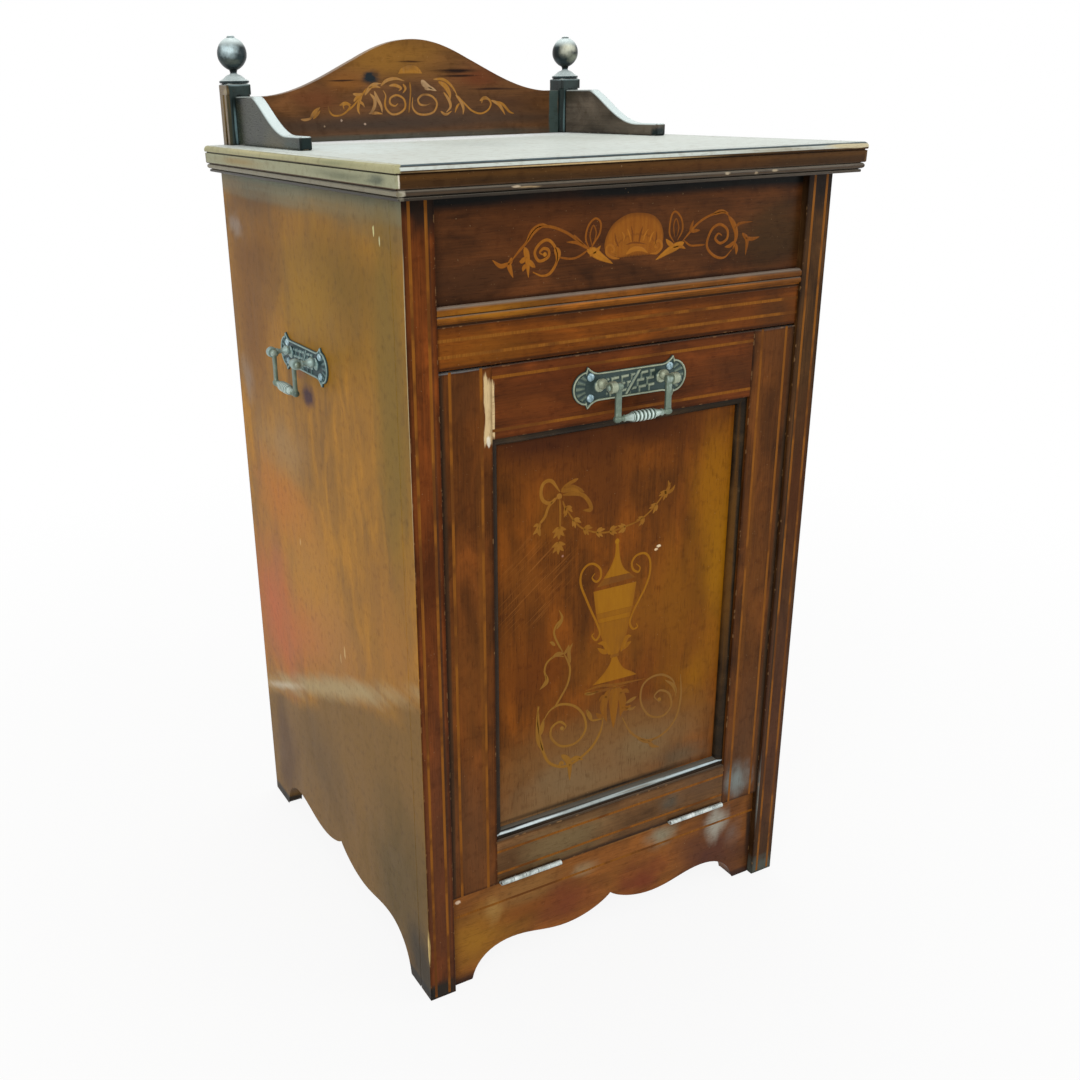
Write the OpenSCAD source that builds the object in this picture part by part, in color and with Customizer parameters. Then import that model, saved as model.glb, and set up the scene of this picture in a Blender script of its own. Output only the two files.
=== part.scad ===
// Edwardian coal scuttle cabinet with a fall-front door that carries a sheet metal coal liner.
// All lengths are millimetres. +Z is up and the door faces -Y.
// The origin is at floor level, midway between the front and back edges of the top.

/* [Case] */
// Width over the side panels
case_w = 360; // [330:1:400]
// Depth from the front of the stiles to the back edge of the sides
case_d = 367.5; // [350:0.5:400]
// Height from the floor to the underside of the top moulding
case_h = 629; // [615:1:680]
// Thickness of a side panel
side_t = 14; // [12:0.5:16]
// Width of a front stile
stile_w = 23; // [21:0.5:26]
// Thickness of a front stile
stile_t = 18; // [16:0.5:20]
// Thickness of the back panel
back_t = 8; // [6:0.5:10]
// Distance from the back edge of the sides to the back panel
back_inset = 4.5; // [3:0.5:8]
// Depth of the rebate in a side panel that takes the back panel
rebate = 7; // [5:0.5:8]
// Height of the lower edge of the back panel
back_foot = 40; // [36:1:46]
// Thickness of the bottom board
bottom_t = 12; // [10:0.5:14]
// Height and width of the bearers and cleats
batten = 16; // [14:0.5:18]

/* [Top] */
// Thickness of the top board
slab_t = 14.5; // [12:0.5:18]
// Overhang of the top board at the front
over_front = 20.6; // [19.5:0.1:26]
// Overhang of the top board at each side
over_side = 13; // [10:0.5:16]
// Overhang of the top board at the back
over_back = 1; // [0:0.5:4]
// Radius of the worn upper edge
arris_r = 5; // [3:0.5:7]
// Distance of the scribed line from the edge of the top
scribe_in = 7.5; // [6:0.5:10]
// Height of the moulding under the top
cornice_h = 7; // [6:0.5:9]
// Step back from the edge of the top to the moulding
cornice_in = 1; // [0.5:0.1:2]

/* [Front rails] */
// Height of the frieze board
frieze_h = 70; // [60:1:80]
// Set-back of the frieze board from the stiles
frieze_in = 6; // [4:0.5:8]
// Thickness of the frieze board
frieze_t = 16; // [14:0.5:18]
// Height of the bead under the frieze
bead_h = 13; // [10:0.5:15]
// Height of the rail over the door
rail_h = 29; // [25:1:34]
// Thickness of the rail over the door
rail_t = 16; // [14:0.5:18]
// Set-back of the rail over the door
rail_in = 2; // [1:0.5:3]

/* [Skirt] */
// Height of the apron
apron_h = 88.6; // [84:0.2:94]
// Thickness of the apron
apron_t = 18; // [16:0.5:20]
// Height of the cusp in the middle of the apron
apron_cusp = 35; // [32:1:40]
// Height of the dip beside the cusp of the apron
apron_dip = 20.2; // [17:0.2:24]
// Height of the crest between dip and foot of the apron
apron_crest = 28; // [25:0.5:31]
// Width of the apron's foot beside each stile
apron_foot = 19; // [15:0.5:24]
// Height of the cusp in the middle of a side panel's lower edge
side_cusp = 43; // [40:1:48]
// Height of the dip beside the cusp of a side panel
side_dip = 28.6; // [25:0.2:32]
// Height of the crest between dip and foot of a side panel
side_crest = 35.6; // [33:0.2:39]
// Length of each foot seen from the side, with the stile
side_foot = 37; // [32:1:44]

/* [Door] */
// Gap between the door and what surrounds it at the sides
door_gap = 0.5; // [0.4:0.1:1]
// Gap between the door and the rail over it
door_top_gap = 1.5; // [1:0.1:2]
// Set-back of the door face from the stiles
door_in = 2; // [1.5:0.1:3]
// Thickness of the door frame
door_t = 18; // [16:0.5:20]
// Width of a door stile
door_stile_w = 41; // [37:0.5:46]
// Height of the door's top rail
door_top_h = 51.5; // [46:0.5:56]
// Height of the door's bottom rail
door_bottom_h = 40.4; // [36:0.2:46]
// Depth of the recess in front of the panel
panel_in = 8.5; // [7.5:0.5:9.5]
// Thickness of the panel
panel_t = 6; // [5:0.5:6.5]
// Depth of the groove that holds the panel
groove = 6; // [5:0.5:8]
// Width of the moulding round the panel
bead_w = 7; // [6:0.5:9]
// Length of the rail tenons
tenon = 28; // [24:1:32]
// Thickness of the rail tenons
tenon_t = 5; // [4:0.5:6]

/* [Hinges] */
// Length of a hinge
hinge_len = 57; // [50:1:64]
// Distance of a hinge's middle from the inner edge of a stile
hinge_in = 72; // [62:1:83]
// Radius of the hinge knuckles
knuckle_r = 3.4; // [3:0.1:3.6]
// Distance of the hinge axis in front of the stiles
axis_out = 1; // [0.8:0.1:1.5]
// Radius of the hinge pin
hinge_pin_r = 1.5; // [1.2:0.1:1.8]
// Thickness of a hinge leaf
leaf_t = 1; // [0.8:0.1:1.2]
// Reach of a hinge leaf behind the stiles' front
leaf_reach = 17; // [15.5:0.5:18]
// Angle through which the door falls open
open_angle = 48; // [42:1:50]

/* [Handles] */
// Half width of the backplate
plate_half = 50.5; // [48:0.5:53]
// Radius of the backplate's round ends
lobe_r = 12.5; // [11.5:0.5:13.5]
// Half height of the backplate between the horns
band_half = 10.5; // [9.5:0.5:11]
// Height of the horns above the middle of the backplate
horn_v = 15.5; // [14.5:0.5:17]
// Thickness of the backplate
plate_t = 1.6; // [1.4:0.1:2.2]
// Height of the backplate's raised work
relief = 0.9; // [0.6:0.1:1.2]
// Distance of the bail's pivot in front of the surface
pivot_out = 17.5; // [15.5:0.5:18]
// Height of the pivot above the middle of the backplate
pivot_up = 2.8; // [1:0.1:4]
// Distance of each eye's middle from the middle of the handle
eye_x = 27.3; // [26:0.1:30]
// Width of an eye
eye_w = 5; // [4:0.5:6]
// Radius of an eye
eye_r = 4.2; // [3.6:0.1:4.6]
// Radius of the bail's pin
bail_pin_r = 1.5; // [1.2:0.1:1.8]
// Radius of a bail arm
arm_r = 2; // [1.7:0.1:2.2]
// Drop from the pivot to the middle of the grip
bail_drop = 24; // [22:0.5:28]
// Largest radius of the grip
grip_r = 4.3; // [3.8:0.1:4.6]
// Distance of the door handle's middle below the door's upper edge
door_handle_drop = 24.8; // [23.5:0.1:33]
// Distance of the side handles' middle below the top moulding
side_handle_drop = 134.3; // [90:0.1:190]
// Distance of the side handles from the front of the stiles
side_handle_y = 190.5; // [120:0.5:250]

/* [Carriage and liner] */
// Thickness of a carriage cheek
cheek_t = 8; // [6:0.5:9]
// Distance of a cheek's outer face from the inner edge of a stile
cheek_in = 12; // [11:0.5:17]
// Gap between a cheek's arc and the rail over the door
cheek_drop = 27; // [23:1:40]
// Rise of the stop horn past the lower edge of that rail
horn_up = 7; // [5:0.5:9]
// Width of the stop horn in degrees of swing
horn_deg = 4; // [3:0.5:5]
// Thickness of the carriage base
base_t = 12; // [10:0.5:14]
// Clearance between the carriage and the bottom board
carriage_clear = 4; // [3:0.5:6]
// Length of the carriage base behind the door
base_len = 232; // [215:1:245]
// Thickness of the liner's sheet
sheet_t = 1; // [0.8:0.1:1.6]
// Height of the liner at the front
liner_front_h = 268; // [240:1:280]
// Height of the liner at the back
liner_back_h = 258; // [230:1:268]
// Depth of the liner at its foot
liner_foot = 205; // [190:1:212]
// Backward lean of the liner's back wall
liner_lean = 20; // [12:1:24]
// Width of the rolled rim
rim_w = 5; // [4:0.5:6]
// Radius of a rivet shank
rivet_r = 1.5; // [1.2:0.1:2]

/* [Gallery] */
// Width of a gallery post
post_w = 21; // [18:0.5:24]
// Distance of a post's middle from the side edge of the top
post_side = 27; // [21:0.5:35]
// Distance of a post's middle from the back edge of the sides
post_back = 15; // [13:0.5:20]
// Height of a post's shaft
shaft_h = 40; // [34:1:46]
// Height of a post's cap block
cap_h = 9.5; // [8:0.5:12]
// Thickness of the gallery board
gallery_t = 10; // [8:0.5:12]
// Height of the gallery arch
arch_h = 83.7; // [74:0.1:92]
// Height of the gallery's shoulders
shoulder_h = 38.5; // [33:0.5:39.5]
// Radius of the finial's ball
ball_r = 13; // [11:0.5:14]
// Radius of the finial's foot
finial_foot_r = 12.5; // [10:0.5:13]
// Thickness of a side bracket
bracket_t = 10; // [8:0.5:12]
// Length of a side bracket
bracket_len = 147; // [130:1:165]
// Height of a bracket's toe
toe_h = 10; // [8:0.5:12]

/* [Inlay] */
// Width of the boxwood stringing
string_w = 2.2; // [1.6:0.1:3]
// Depth of the stringing and of the marquetry
inlay_t = 0.9; // [0.6:0.1:1.2]
// Width of a fine marquetry stem
stem_w = 1.8; // [1.4:0.1:2.2]

/* [Fits] */
// Radial clearance of a running pin
pin_clear = 0.05; // [0.03:0.01:0.08]
// Clearance of a seated piece in its seat
seat_clear = 0.1; // [0.05:0.01:0.2]
// Clearance beside a moving metal piece
run_clear = 0.4; // [0.3:0.05:0.5]
// Gap left at the door's open stop
stop_clear = 0.5; // [0.4:0.1:1]

/* [Hidden] */
$fn = 48;
cut = 1;                                          // overshoot of a cut past the face it leaves
half_w = case_w / 2;
inner_x = half_w - side_t;                        // inner face of a side panel
stile_in_x = half_w - stile_w;                    // inner edge of a front stile
slab_z = case_h + cornice_h;
top_z = slab_z + slab_t;
case_front_y = over_front - (over_front + case_d + over_back) / 2;
frieze_z = case_h - frieze_h;
bead_z = frieze_z - bead_h;
rail_z = bead_z - rail_h;
back_y = case_d - back_inset - back_t;            // front face of the back panel
bottom_z = apron_h - 0.6 - bottom_t;              // underside of the bottom board
apron_back = frieze_in + apron_t;

leaf_z = apron_h;
axis_z = leaf_z + knuckle_r;
door_z = leaf_z + leaf_t + run_clear;
door_top = rail_z - door_top_gap;
door_back = door_in + door_t;
door_x = stile_in_x - door_gap;
open_x = door_x - door_stile_w;                   // half width of the panel opening
open_z0 = door_z + door_bottom_h;
open_z1 = door_top - door_top_h;
panel_y = door_in + panel_in;
notch_r = knuckle_r + run_clear;
knuckles = 5;
hinge_x = stile_in_x - hinge_in;
knuckle_len = (hinge_len - (knuckles - 1) * run_clear) / knuckles;
leaf_screw_y = (frieze_in + leaf_reach) / 2;
screw_r = 1.4;
screw_head_r = 2.4;
screw_len = 11;

collar_w = 2 * arm_r + 0.6;                       // width of a bail arm's upper end
arm_x = eye_x - eye_w / 2 - run_clear - collar_w / 2;
door_handle_z = door_top - door_handle_drop;
side_handle_z = case_h - side_handle_drop;
handle_screw_x = plate_half - lobe_r - 3;
handle_screw_v = 7.7;
handle_screw_r = 1.3;
handle_screw_head_r = 3;

cheek_x = stile_in_x - cheek_in - cheek_t;        // inner face of a cheek
cheek_r = rail_z - axis_z - cheek_drop;
horn_r = rail_z - axis_z + horn_up;
carriage_z = bottom_z + bottom_t + carriage_clear;
base_top = carriage_z + base_t;
base_back = door_back + base_len;
rail_back = rail_in + rail_t;
// swing at which the foremost edge of the stop horn meets the back of the rail
stop_deg = open_angle + asin((rail_back + stop_clear + axis_out) / (rail_z - axis_z));
rim_x = cheek_x - 1;
liner_x = rim_x - rim_w + sheet_t;
liner_y = door_back + 1 + rim_w - sheet_t;
liner_front_z = base_top + liner_front_h;
liner_back_z = base_top + liner_back_h;

post_x = half_w + over_side - post_side;
post_y = case_d - post_back;
bracket_y = post_y - post_w / 2;
arch_x = post_x - post_w / 2;
gallery_y = post_y - gallery_t / 2;
shaft_chamfer = 3;
flute_r = 3;
spigot_r = 4;
spigot_h = 12;

// ---- colours ----
mahogany = "saddlebrown";
dark_mahogany = "#4a2412";
boxwood = "goldenrod";
old_brass = "#8a8f7c";
sheet_iron = "#3c3f42";
deal = "burlywood";

// ---- shapes and placing ----
// Everything below is drawn with y = 0 at the front of the stiles, then moved to the part's origin.
module placed() {
    translate([0, case_front_y, 0]) children();
}

// a block between two opposite corners
module block(a, b) {
    translate(a) cube(b - a);
}

// a flat shape drawn as (x, z), spanning y to y + t
module upright(y, t) {
    translate([0, y + t, 0]) rotate([90, 0, 0]) linear_extrude(t) children();
}

// a flat shape drawn as (y, z), spanning x to x + t
module sideways(x, t) {
    translate([x, 0, 0]) rotate([90, 0, 90]) linear_extrude(t) children();
}

// the right-hand piece, or its mirror image on the left
module on_side(s) {
    if (s < 0) mirror([1, 0, 0]) children();
    else children();
}

// a rod along x between two stations
module rod_x(x0, x1, r) {
    translate([x0, 0, 0]) rotate([0, 90, 0]) cylinder(h = x1 - x0, r = r);
}

// one point of a cubic curve through p[0] and p[3]
function curve_at(p, t) =
    pow(1 - t, 3) * p[0] + 3 * t * pow(1 - t, 2) * p[1] + 3 * t * t * (1 - t) * p[2] + pow(t, 3) * p[3];
// the points of a cubic curve, without its last one
function curve(p, n = 10) = [for (i = [0:n - 1]) curve_at(p, i / n)];
// a list of points mirrored about x = 0, in reverse order
function mirrored(pts) = [for (i = [len(pts) - 1:-1:0]) [-pts[i].x, pts[i].y]];

// half of a skirt's lower edge, from the cusp in the middle to the inside of the foot
function skirt_half(reach, cusp, dip, crest) = concat(
    curve([[0, cusp], [0.05 * reach, cusp - 0.44 * (cusp - dip)], [0.18 * reach, dip], [0.33 * reach, dip]]),
    curve([[0.33 * reach, dip], [0.48 * reach, dip], [0.58 * reach, crest], [0.72 * reach, crest]]),
    curve([[0.72 * reach, crest], [0.87 * reach, crest], [0.975 * reach, 0.62 * crest], [reach, 0]]),
    [[reach, 0]]
);

// ---- carcass ----
module side_panel(s) {
    span = case_d / 2;
    edge = skirt_half(span - side_foot, side_cusp, side_dip, side_crest);
    placed() color(mahogany) on_side(s) difference() {
        sideways(inner_x, side_t) translate([span, 0]) polygon(concat(
            [[stile_t - span, case_h], [stile_t - span, 0]], mirrored(edge), edge, [[span, 0], [span, case_h]]));
        block([inner_x - cut, back_y, -cut], [inner_x + rebate, case_d + cut, case_h + cut]);
        handle_on_side() handle_screw_places() cylinder(h = screw_len + seat_clear, r = handle_screw_r + pin_clear);
    }
}

module front_stile(s) {
    placed() color(mahogany) on_side(s) difference() {
        block([stile_in_x, 0, 0], [half_w, stile_t, case_h]);
        stile_stringing();
    }
}

module back_panel() {
    reach = inner_x + rebate - seat_clear;
    placed() color(deal) block([-reach, back_y, back_foot], [reach, back_y + back_t, slab_z]);
}

module bottom_board() {
    placed() color(deal) block([-inner_x, apron_back, bottom_z], [inner_x, back_y, bottom_z + bottom_t]);
}

module bottom_bearers() {
    placed() color(deal) for (s = [-1, 1]) on_side(s)
        block([inner_x - batten, apron_back, bottom_z - batten], [inner_x, back_y, bottom_z]);
}

module glue_blocks() {
    leg = 20;
    placed() color(deal) for (s = [-1, 1]) on_side(s)
        translate([inner_x, 0, bottom_z - 2 * batten]) {
            translate([0, apron_back, 0]) linear_extrude(batten) polygon([[0, 0], [-leg, 0], [0, leg]]);
            translate([0, back_y, 0]) linear_extrude(batten) polygon([[0, 0], [-leg, 0], [0, -leg]]);
        }
}

module frieze_board() {
    placed() color(dark_mahogany) difference() {
        block([-stile_in_x, frieze_in, frieze_z], [stile_in_x, frieze_in + frieze_t, case_h]);
        upright(frieze_in - cut, inlay_t + cut) frieze_pattern();
    }
}

module frieze_bead() {
    nose = 3;
    placed() color(mahogany) sideways(-stile_in_x, 2 * stile_in_x) union() {
        translate([0, bead_z]) square([stile_t, bead_h - nose]);
        translate([nose, bead_z]) square([stile_t - nose, bead_h]);
        translate([nose, bead_z + bead_h - nose]) circle(nose);
    }
}

module head_rail() {
    placed() color(mahogany) difference() {
        block([-stile_in_x, rail_in, rail_z], [stile_in_x, rail_back, bead_z]);
        rail_stringing();
    }
}

module apron() {
    edge = skirt_half(stile_in_x - apron_foot, apron_cusp, apron_dip, apron_crest);
    placed() color(mahogany) difference() {
        upright(frieze_in, apron_t) polygon(concat(
            [[-stile_in_x, apron_h], [-stile_in_x, 0]], mirrored(edge), edge,
            [[stile_in_x, 0], [stile_in_x, apron_h]]));
        apron_stringing();
        hinge_places() leaf_screw_places() translate([0, 0, -screw_len])
            cylinder(h = screw_len + cut, r = screw_r + pin_clear);
    }
}

module door_stops() {
    lip = 8;
    depth = 10;
    // the lower back corner of the door swings past here
    lip_y = norm([door_back + axis_out, axis_z - door_z]) - axis_out + pin_clear;
    placed() color(deal) for (s = [-1, 1]) on_side(s) union() {
        block([stile_in_x, stile_t, apron_h], [inner_x, stile_t + depth, rail_z]);
        block([stile_in_x - lip, lip_y, apron_h], [inner_x, stile_t + depth, rail_z]);
    }
}

// ---- top ----
module top_board() {
    x = half_w + over_side;
    y0 = -over_front;
    y1 = case_d + over_back;
    quirk = 1;
    line_w = 0.8;
    line_t = 0.5;
    placed() color(mahogany) difference() {
        intersection() {
            sideways(-x, 2 * x) union() {
                translate([y0, slab_z + quirk]) square([y1 - y0, slab_t - quirk - arris_r]);
                translate([y0 + quirk, slab_z]) square([y1 - y0 - quirk, slab_t - arris_r]);
                translate([y0 + arris_r, slab_z]) square([y1 - y0 - arris_r, slab_t]);
                translate([y0 + arris_r, top_z - arris_r]) circle(arris_r);
            }
            upright(y0, y1 - y0) union() {
                translate([-x, slab_z + quirk]) square([2 * x, slab_t - quirk - arris_r]);
                translate([-x + quirk, slab_z]) square([2 * (x - quirk), slab_t - arris_r]);
                translate([-x + arris_r, slab_z]) square([2 * (x - arris_r), slab_t]);
                for (s = [-1, 1]) translate([s * (x - arris_r), top_z - arris_r]) circle(arris_r);
            }
        }
        translate([0, 0, top_z - line_t]) linear_extrude(line_t + cut) difference() {
            translate([-x + scribe_in, y0 + scribe_in]) square([2 * (x - scribe_in), y1 - y0]);
            translate([-x + scribe_in + line_w, y0 + scribe_in + line_w])
                square([2 * (x - scribe_in - line_w), y1 - y0]);
        }
    }
}

// outline of the moulding seen from its end, with its outer edge at 0 and running inwards
module cornice_profile(width) {
    bead = 0.42 * cornice_h;
    fillet = 0.45 * cornice_h;
    step = 1.4;
    union() {
        translate([bead / 2, 0]) square([width - bead / 2, cornice_h]);
        translate([bead / 2, cornice_h - bead / 2]) circle(bead / 2);
        translate([step, 0]) square([width - step, fillet]);
    }
}

module top_moulding() {
    x = half_w + over_side - cornice_in;
    y0 = -over_front + cornice_in;
    y1 = case_d;
    placed() color(mahogany) difference() {
        intersection() {
            sideways(-x, 2 * x) translate([y0, case_h]) cornice_profile(y1 - y0);
            upright(y0, y1 - y0) translate([0, case_h]) union() {
                translate([-x, 0]) cornice_profile(x);
                mirror([1, 0]) translate([-x, 0]) cornice_profile(x);
            }
        }
        block([-inner_x, frieze_in + frieze_t, case_h - cut], [inner_x, back_y, slab_z + cut]);
        block([-inner_x - rebate, back_y, case_h - cut], [inner_x + rebate, case_d + cut, slab_z + cut]);
    }
}

module top_cleats() {
    placed() color(deal) for (s = [-1, 1]) on_side(s)
        block([inner_x - batten, frieze_in + frieze_t, slab_z - batten], [inner_x, back_y, slab_z]);
}

// ---- gallery ----
module gallery_board() {
    half = concat(
        curve([[0, arch_h], [0.14 * arch_x, arch_h], [0.25 * arch_x, 0.91 * arch_h], [0.36 * arch_x, 0.81 * arch_h]]),
        curve([[0.36 * arch_x, 0.81 * arch_h], [0.53 * arch_x, 0.667 * arch_h],
            [0.7 * arch_x, shoulder_h + 2], [0.9 * arch_x, shoulder_h]]),
        [[0.9 * arch_x, shoulder_h], [arch_x, shoulder_h]]
    );
    placed() color(mahogany) difference() {
        upright(gallery_y, gallery_t) translate([0, top_z])
            polygon(concat([[-arch_x, 0]], mirrored(half), half, [[arch_x, 0]]));
        upright(gallery_y - cut, inlay_t + cut) gallery_pattern();
    }
}

module gallery_post(s) {
    h = shaft_h + cap_h;
    slope = 1.5;
    placed() color(dark_mahogany) on_side(s) translate([post_x, post_y, top_z]) difference() {
        union() {
            linear_extrude(shaft_h) difference() {
                square(post_w, center = true);
                for (a = [-1, 1]) translate([a * post_w / 2, -post_w / 2]) rotate(45)
                    square(shaft_chamfer * sqrt(2), center = true);
                translate([0, -post_w / 2 - 0.6 * flute_r]) circle(flute_r);
                translate([post_w / 2 + 0.6 * flute_r, 0]) circle(flute_r);
            }
            translate([0, 0, shaft_h]) intersection() {
                rotate([90, 0, 0]) linear_extrude(post_w, center = true) cap_profile(slope);
                rotate([90, 0, 90]) linear_extrude(post_w, center = true) cap_profile(slope);
            }
        }
        translate([0, 0, h - spigot_h - seat_clear]) cylinder(h = spigot_h + cut, r = spigot_r + pin_clear);
    }
}

module cap_profile(slope) {
    w = post_w / 2;
    polygon([[-w, 0], [w, 0], [w, cap_h - slope], [w - 2 * slope, cap_h], [-w + 2 * slope, cap_h], [-w, cap_h - slope]]);
}

module finial(s) {
    neck_r = 4;
    foot_h = 5;
    neck_h = 4.5;
    ball_z = foot_h + neck_h + ball_r;
    button_r = 3.2;
    placed() color(dark_mahogany) on_side(s) translate([post_x, post_y, top_z + shaft_h + cap_h]) union() {
        translate([0, 0, -spigot_h]) cylinder(h = spigot_h + foot_h, r = spigot_r);
        rotate_extrude() intersection() {
            square([finial_foot_r, ball_z + 2 * ball_r]);
            union() {
                translate([finial_foot_r - 1, 1]) circle(1);
                square([finial_foot_r - 1, 2]);
                polygon([[0, 2], [finial_foot_r - 1, 2], [neck_r + 1, foot_h], [0, foot_h]]);
                square([neck_r, ball_z]);
                polygon([[0, foot_h + neck_h - 2], [neck_r, foot_h + neck_h - 2], [0.72 * ball_r, ball_z - 0.69 * ball_r],
                    [0, ball_z]]);
            }
        }
        translate([0, 0, ball_z]) sphere(ball_r);
        translate([0, 0, ball_z]) cylinder(h = ball_r + 1.2, r = button_r);
    }
}

module gallery_bracket(s) {
    flat = 0.285 * bracket_len;
    toe = 0.205 * bracket_len;
    rise = [[bracket_len - flat, shoulder_h], [bracket_len - 1.42 * flat, 0.87 * shoulder_h],
        [2.03 * toe, toe_h], [toe, toe_h]];
    placed() color(dark_mahogany) on_side(s) sideways(post_x - bracket_t / 2 - 1, bracket_t)
        translate([bracket_y - bracket_len, top_z]) polygon(concat(
            [[bracket_len, 0], [bracket_len, shoulder_h]], curve(rise, 14),
            [[toe, toe_h], [0, toe_h], [0, 0]]));
}

// ---- door ----
module door_stile(s) {
    placed() color(dark_mahogany) on_side(s) difference() {
        block([open_x, door_in, door_z], [door_x, door_back, door_top]);
        panel_groove();
        rail_tenon(open_z1 + groove, door_top - 8, seat_clear);
        rail_tenon(door_z + 8, open_z0 - groove, seat_clear);
        door_stile_stringing();
    }
}

// the right-hand end of a rail, let into the stile
module rail_tenon(z0, z1, clear) {
    y = door_back - 2;
    block([open_x - cut, y - tenon_t - clear, z0 - clear], [open_x + tenon + clear, y + clear, z1 + clear]);
}

// the groove that the panel sits in, cut round the whole opening
module panel_groove() {
    block([-open_x - groove, panel_y, open_z0 - groove], [open_x + groove, panel_y + panel_t, open_z1 + groove]);
}

module door_rail_top() {
    placed() color(dark_mahogany) difference() {
        union() {
            block([-open_x, door_in, open_z1], [open_x, door_back, door_top]);
            for (s = [-1, 1]) on_side(s) rail_tenon(open_z1 + groove, door_top - 8, 0);
        }
        panel_groove();
        door_top_stringing();
        door_handle_at() handle_screw_places() cylinder(h = screw_len + seat_clear, r = handle_screw_r + pin_clear);
    }
}

module door_rail_bottom() {
    placed() color(dark_mahogany) difference() {
        union() {
            block([-open_x, door_in, door_z], [open_x, door_back, open_z0]);
            for (s = [-1, 1]) on_side(s) rail_tenon(door_z + 8, open_z0 - groove, 0);
        }
        panel_groove();
        door_bottom_stringing();
        hinge_places() {
            rod_x(-hinge_len / 2 - run_clear, hinge_len / 2 + run_clear, notch_r);
            block([-hinge_len / 2 - seat_clear, 0, -knuckle_r],
                [hinge_len / 2 + seat_clear, axis_out + leaf_reach + seat_clear, door_z + leaf_t - axis_z]);
            door_leaf_screw_places() mirror([0, 0, 1]) translate([0, 0, -screw_len - seat_clear])
                cylinder(h = screw_len + seat_clear, r = screw_r + pin_clear);
        }
    }
}

module door_panel() {
    reach = groove - 0.5;
    placed() color(mahogany) difference() {
        block([-open_x - reach, panel_y, open_z0 - reach], [open_x + reach, panel_y + panel_t, open_z1 + reach]);
        upright(panel_y - cut, inlay_t + cut) {
            urn_pattern();
            swag_pattern();
            scroll_pattern();
        }
    }
}

// one side of the moulding: along x, with its outer edge at y = 0 and standing up from z = 0
module mitred_run(length) {
    h = panel_in - 2.5;
    intersection() {
        rotate([90, 0, 90]) linear_extrude(length, center = true) intersection() {
            square([bead_w, h]);
            union() {
                square([bead_w - h + 0.5, h]);
                translate([bead_w - h, 0]) circle(h);
            }
        }
        linear_extrude(h) polygon([[-length / 2, 0], [length / 2, 0], [length / 2 - bead_w, bead_w],
            [bead_w - length / 2, bead_w]]);
    }
}

module panel_moulding() {
    w = 2 * open_x;
    h = open_z1 - open_z0;
    placed() color(dark_mahogany) translate([0, panel_y, (open_z0 + open_z1) / 2]) rotate([90, 0, 0])
        for (a = [0:90:270]) rotate(a) translate([0, a % 180 == 0 ? -h / 2 : -w / 2, 0])
            mitred_run(a % 180 == 0 ? w : h);
}

// ---- hinges ----
// both hinges, drawn about the middle of the knuckles
module hinge_places() {
    for (s = [-1, 1]) translate([s * hinge_x, -axis_out, axis_z]) children();
}

module leaf_screw_places() {
    for (i = [-1, 0, 1]) translate([i * 0.36 * hinge_len, axis_out + leaf_screw_y, leaf_z + leaf_t - axis_z])
        children();
}

module door_leaf_screw_places() {
    for (i = [-1, 0, 1]) translate([i * 0.36 * hinge_len, axis_out + leaf_screw_y, door_z - axis_z]) children();
}

// one leaf with every second knuckle, its sheet spanning z0 to z0 + leaf_t
module hinge_leaf(first, z0) {
    pitch = knuckle_len + run_clear;
    difference() {
        union() {
            block([-hinge_len / 2, notch_r, z0], [hinge_len / 2, axis_out + leaf_reach, z0 + leaf_t]);
            for (i = [first:2:knuckles - 1]) translate([-hinge_len / 2 + i * pitch, 0, 0]) {
                rod_x(0, knuckle_len, knuckle_r);
                block([0, 0, z0], [knuckle_len, notch_r + cut, z0 + leaf_t]);
            }
        }
        rod_x(-hinge_len / 2 - cut, hinge_len / 2 + cut, hinge_pin_r + pin_clear);
    }
}

// a countersunk screw, head up, with the top of its head at z = 0
module sunk_screw(clear) {
    depth = screw_head_r - screw_r;
    rotate_extrude() polygon([[0, 0], [screw_head_r + clear, 0], [screw_r + clear, -depth],
        [screw_r + clear, -screw_len], [0, -screw_len]]);
}

module hinge_leaves_carcass() {
    placed() color(old_brass) hinge_places() difference() {
        hinge_leaf(0, leaf_z - axis_z);
        leaf_screw_places() translate([0, 0, 0]) sunk_screw(pin_clear);
    }
}

module hinge_leaves_door() {
    placed() color(old_brass) hinge_places() difference() {
        hinge_leaf(1, door_z - axis_z);
        door_leaf_screw_places() mirror([0, 0, 1]) sunk_screw(pin_clear);
    }
}

module hinge_pins() {
    placed() color(old_brass) hinge_places() rod_x(-hinge_len / 2, hinge_len / 2, hinge_pin_r);
}

module hinge_screws_carcass() {
    placed() color(old_brass) hinge_places() leaf_screw_places() sunk_screw(0);
}

module hinge_screws_door() {
    placed() color(old_brass) hinge_places() door_leaf_screw_places() mirror([0, 0, 1]) sunk_screw(0);
}

// ---- handles ----
// A handle is drawn flat: x along the backplate, y up, z out of the surface that it is fixed to.
module door_handle_at() {
    translate([0, door_in, door_handle_z]) rotate([90, 0, 0]) children();
}

module handle_on_side() {
    translate([half_w, side_handle_y, side_handle_z]) rotate([90, 0, 90]) children();
}

// the four screws, each drawn going down from z = 0 into the wood
module handle_screw_places() {
    for (a = [-1, 1], b = [-1, 1]) translate([a * handle_screw_x, b * handle_screw_v, 0])
        mirror([0, 0, 1]) children();
}

// outline of the backplate, drawn in by an amount
module plate_outline(inset) {
    centre = plate_half - lobe_r;
    union() {
        square([2 * centre, 2 * (band_half - inset)], center = true);
        for (a = [-1, 1]) translate([a * centre, 0]) circle(lobe_r - inset);
        if (inset == 0) for (a = [-1, 1], b = [-1, 1])
            polygon([[a * (centre - 9), b * (band_half - 1)], [a * (centre - 1.5), b * horn_v],
                [a * (centre + 0.5), b * horn_v], [a * (centre + 3), b * (band_half - 1)]]);
    }
}

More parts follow.
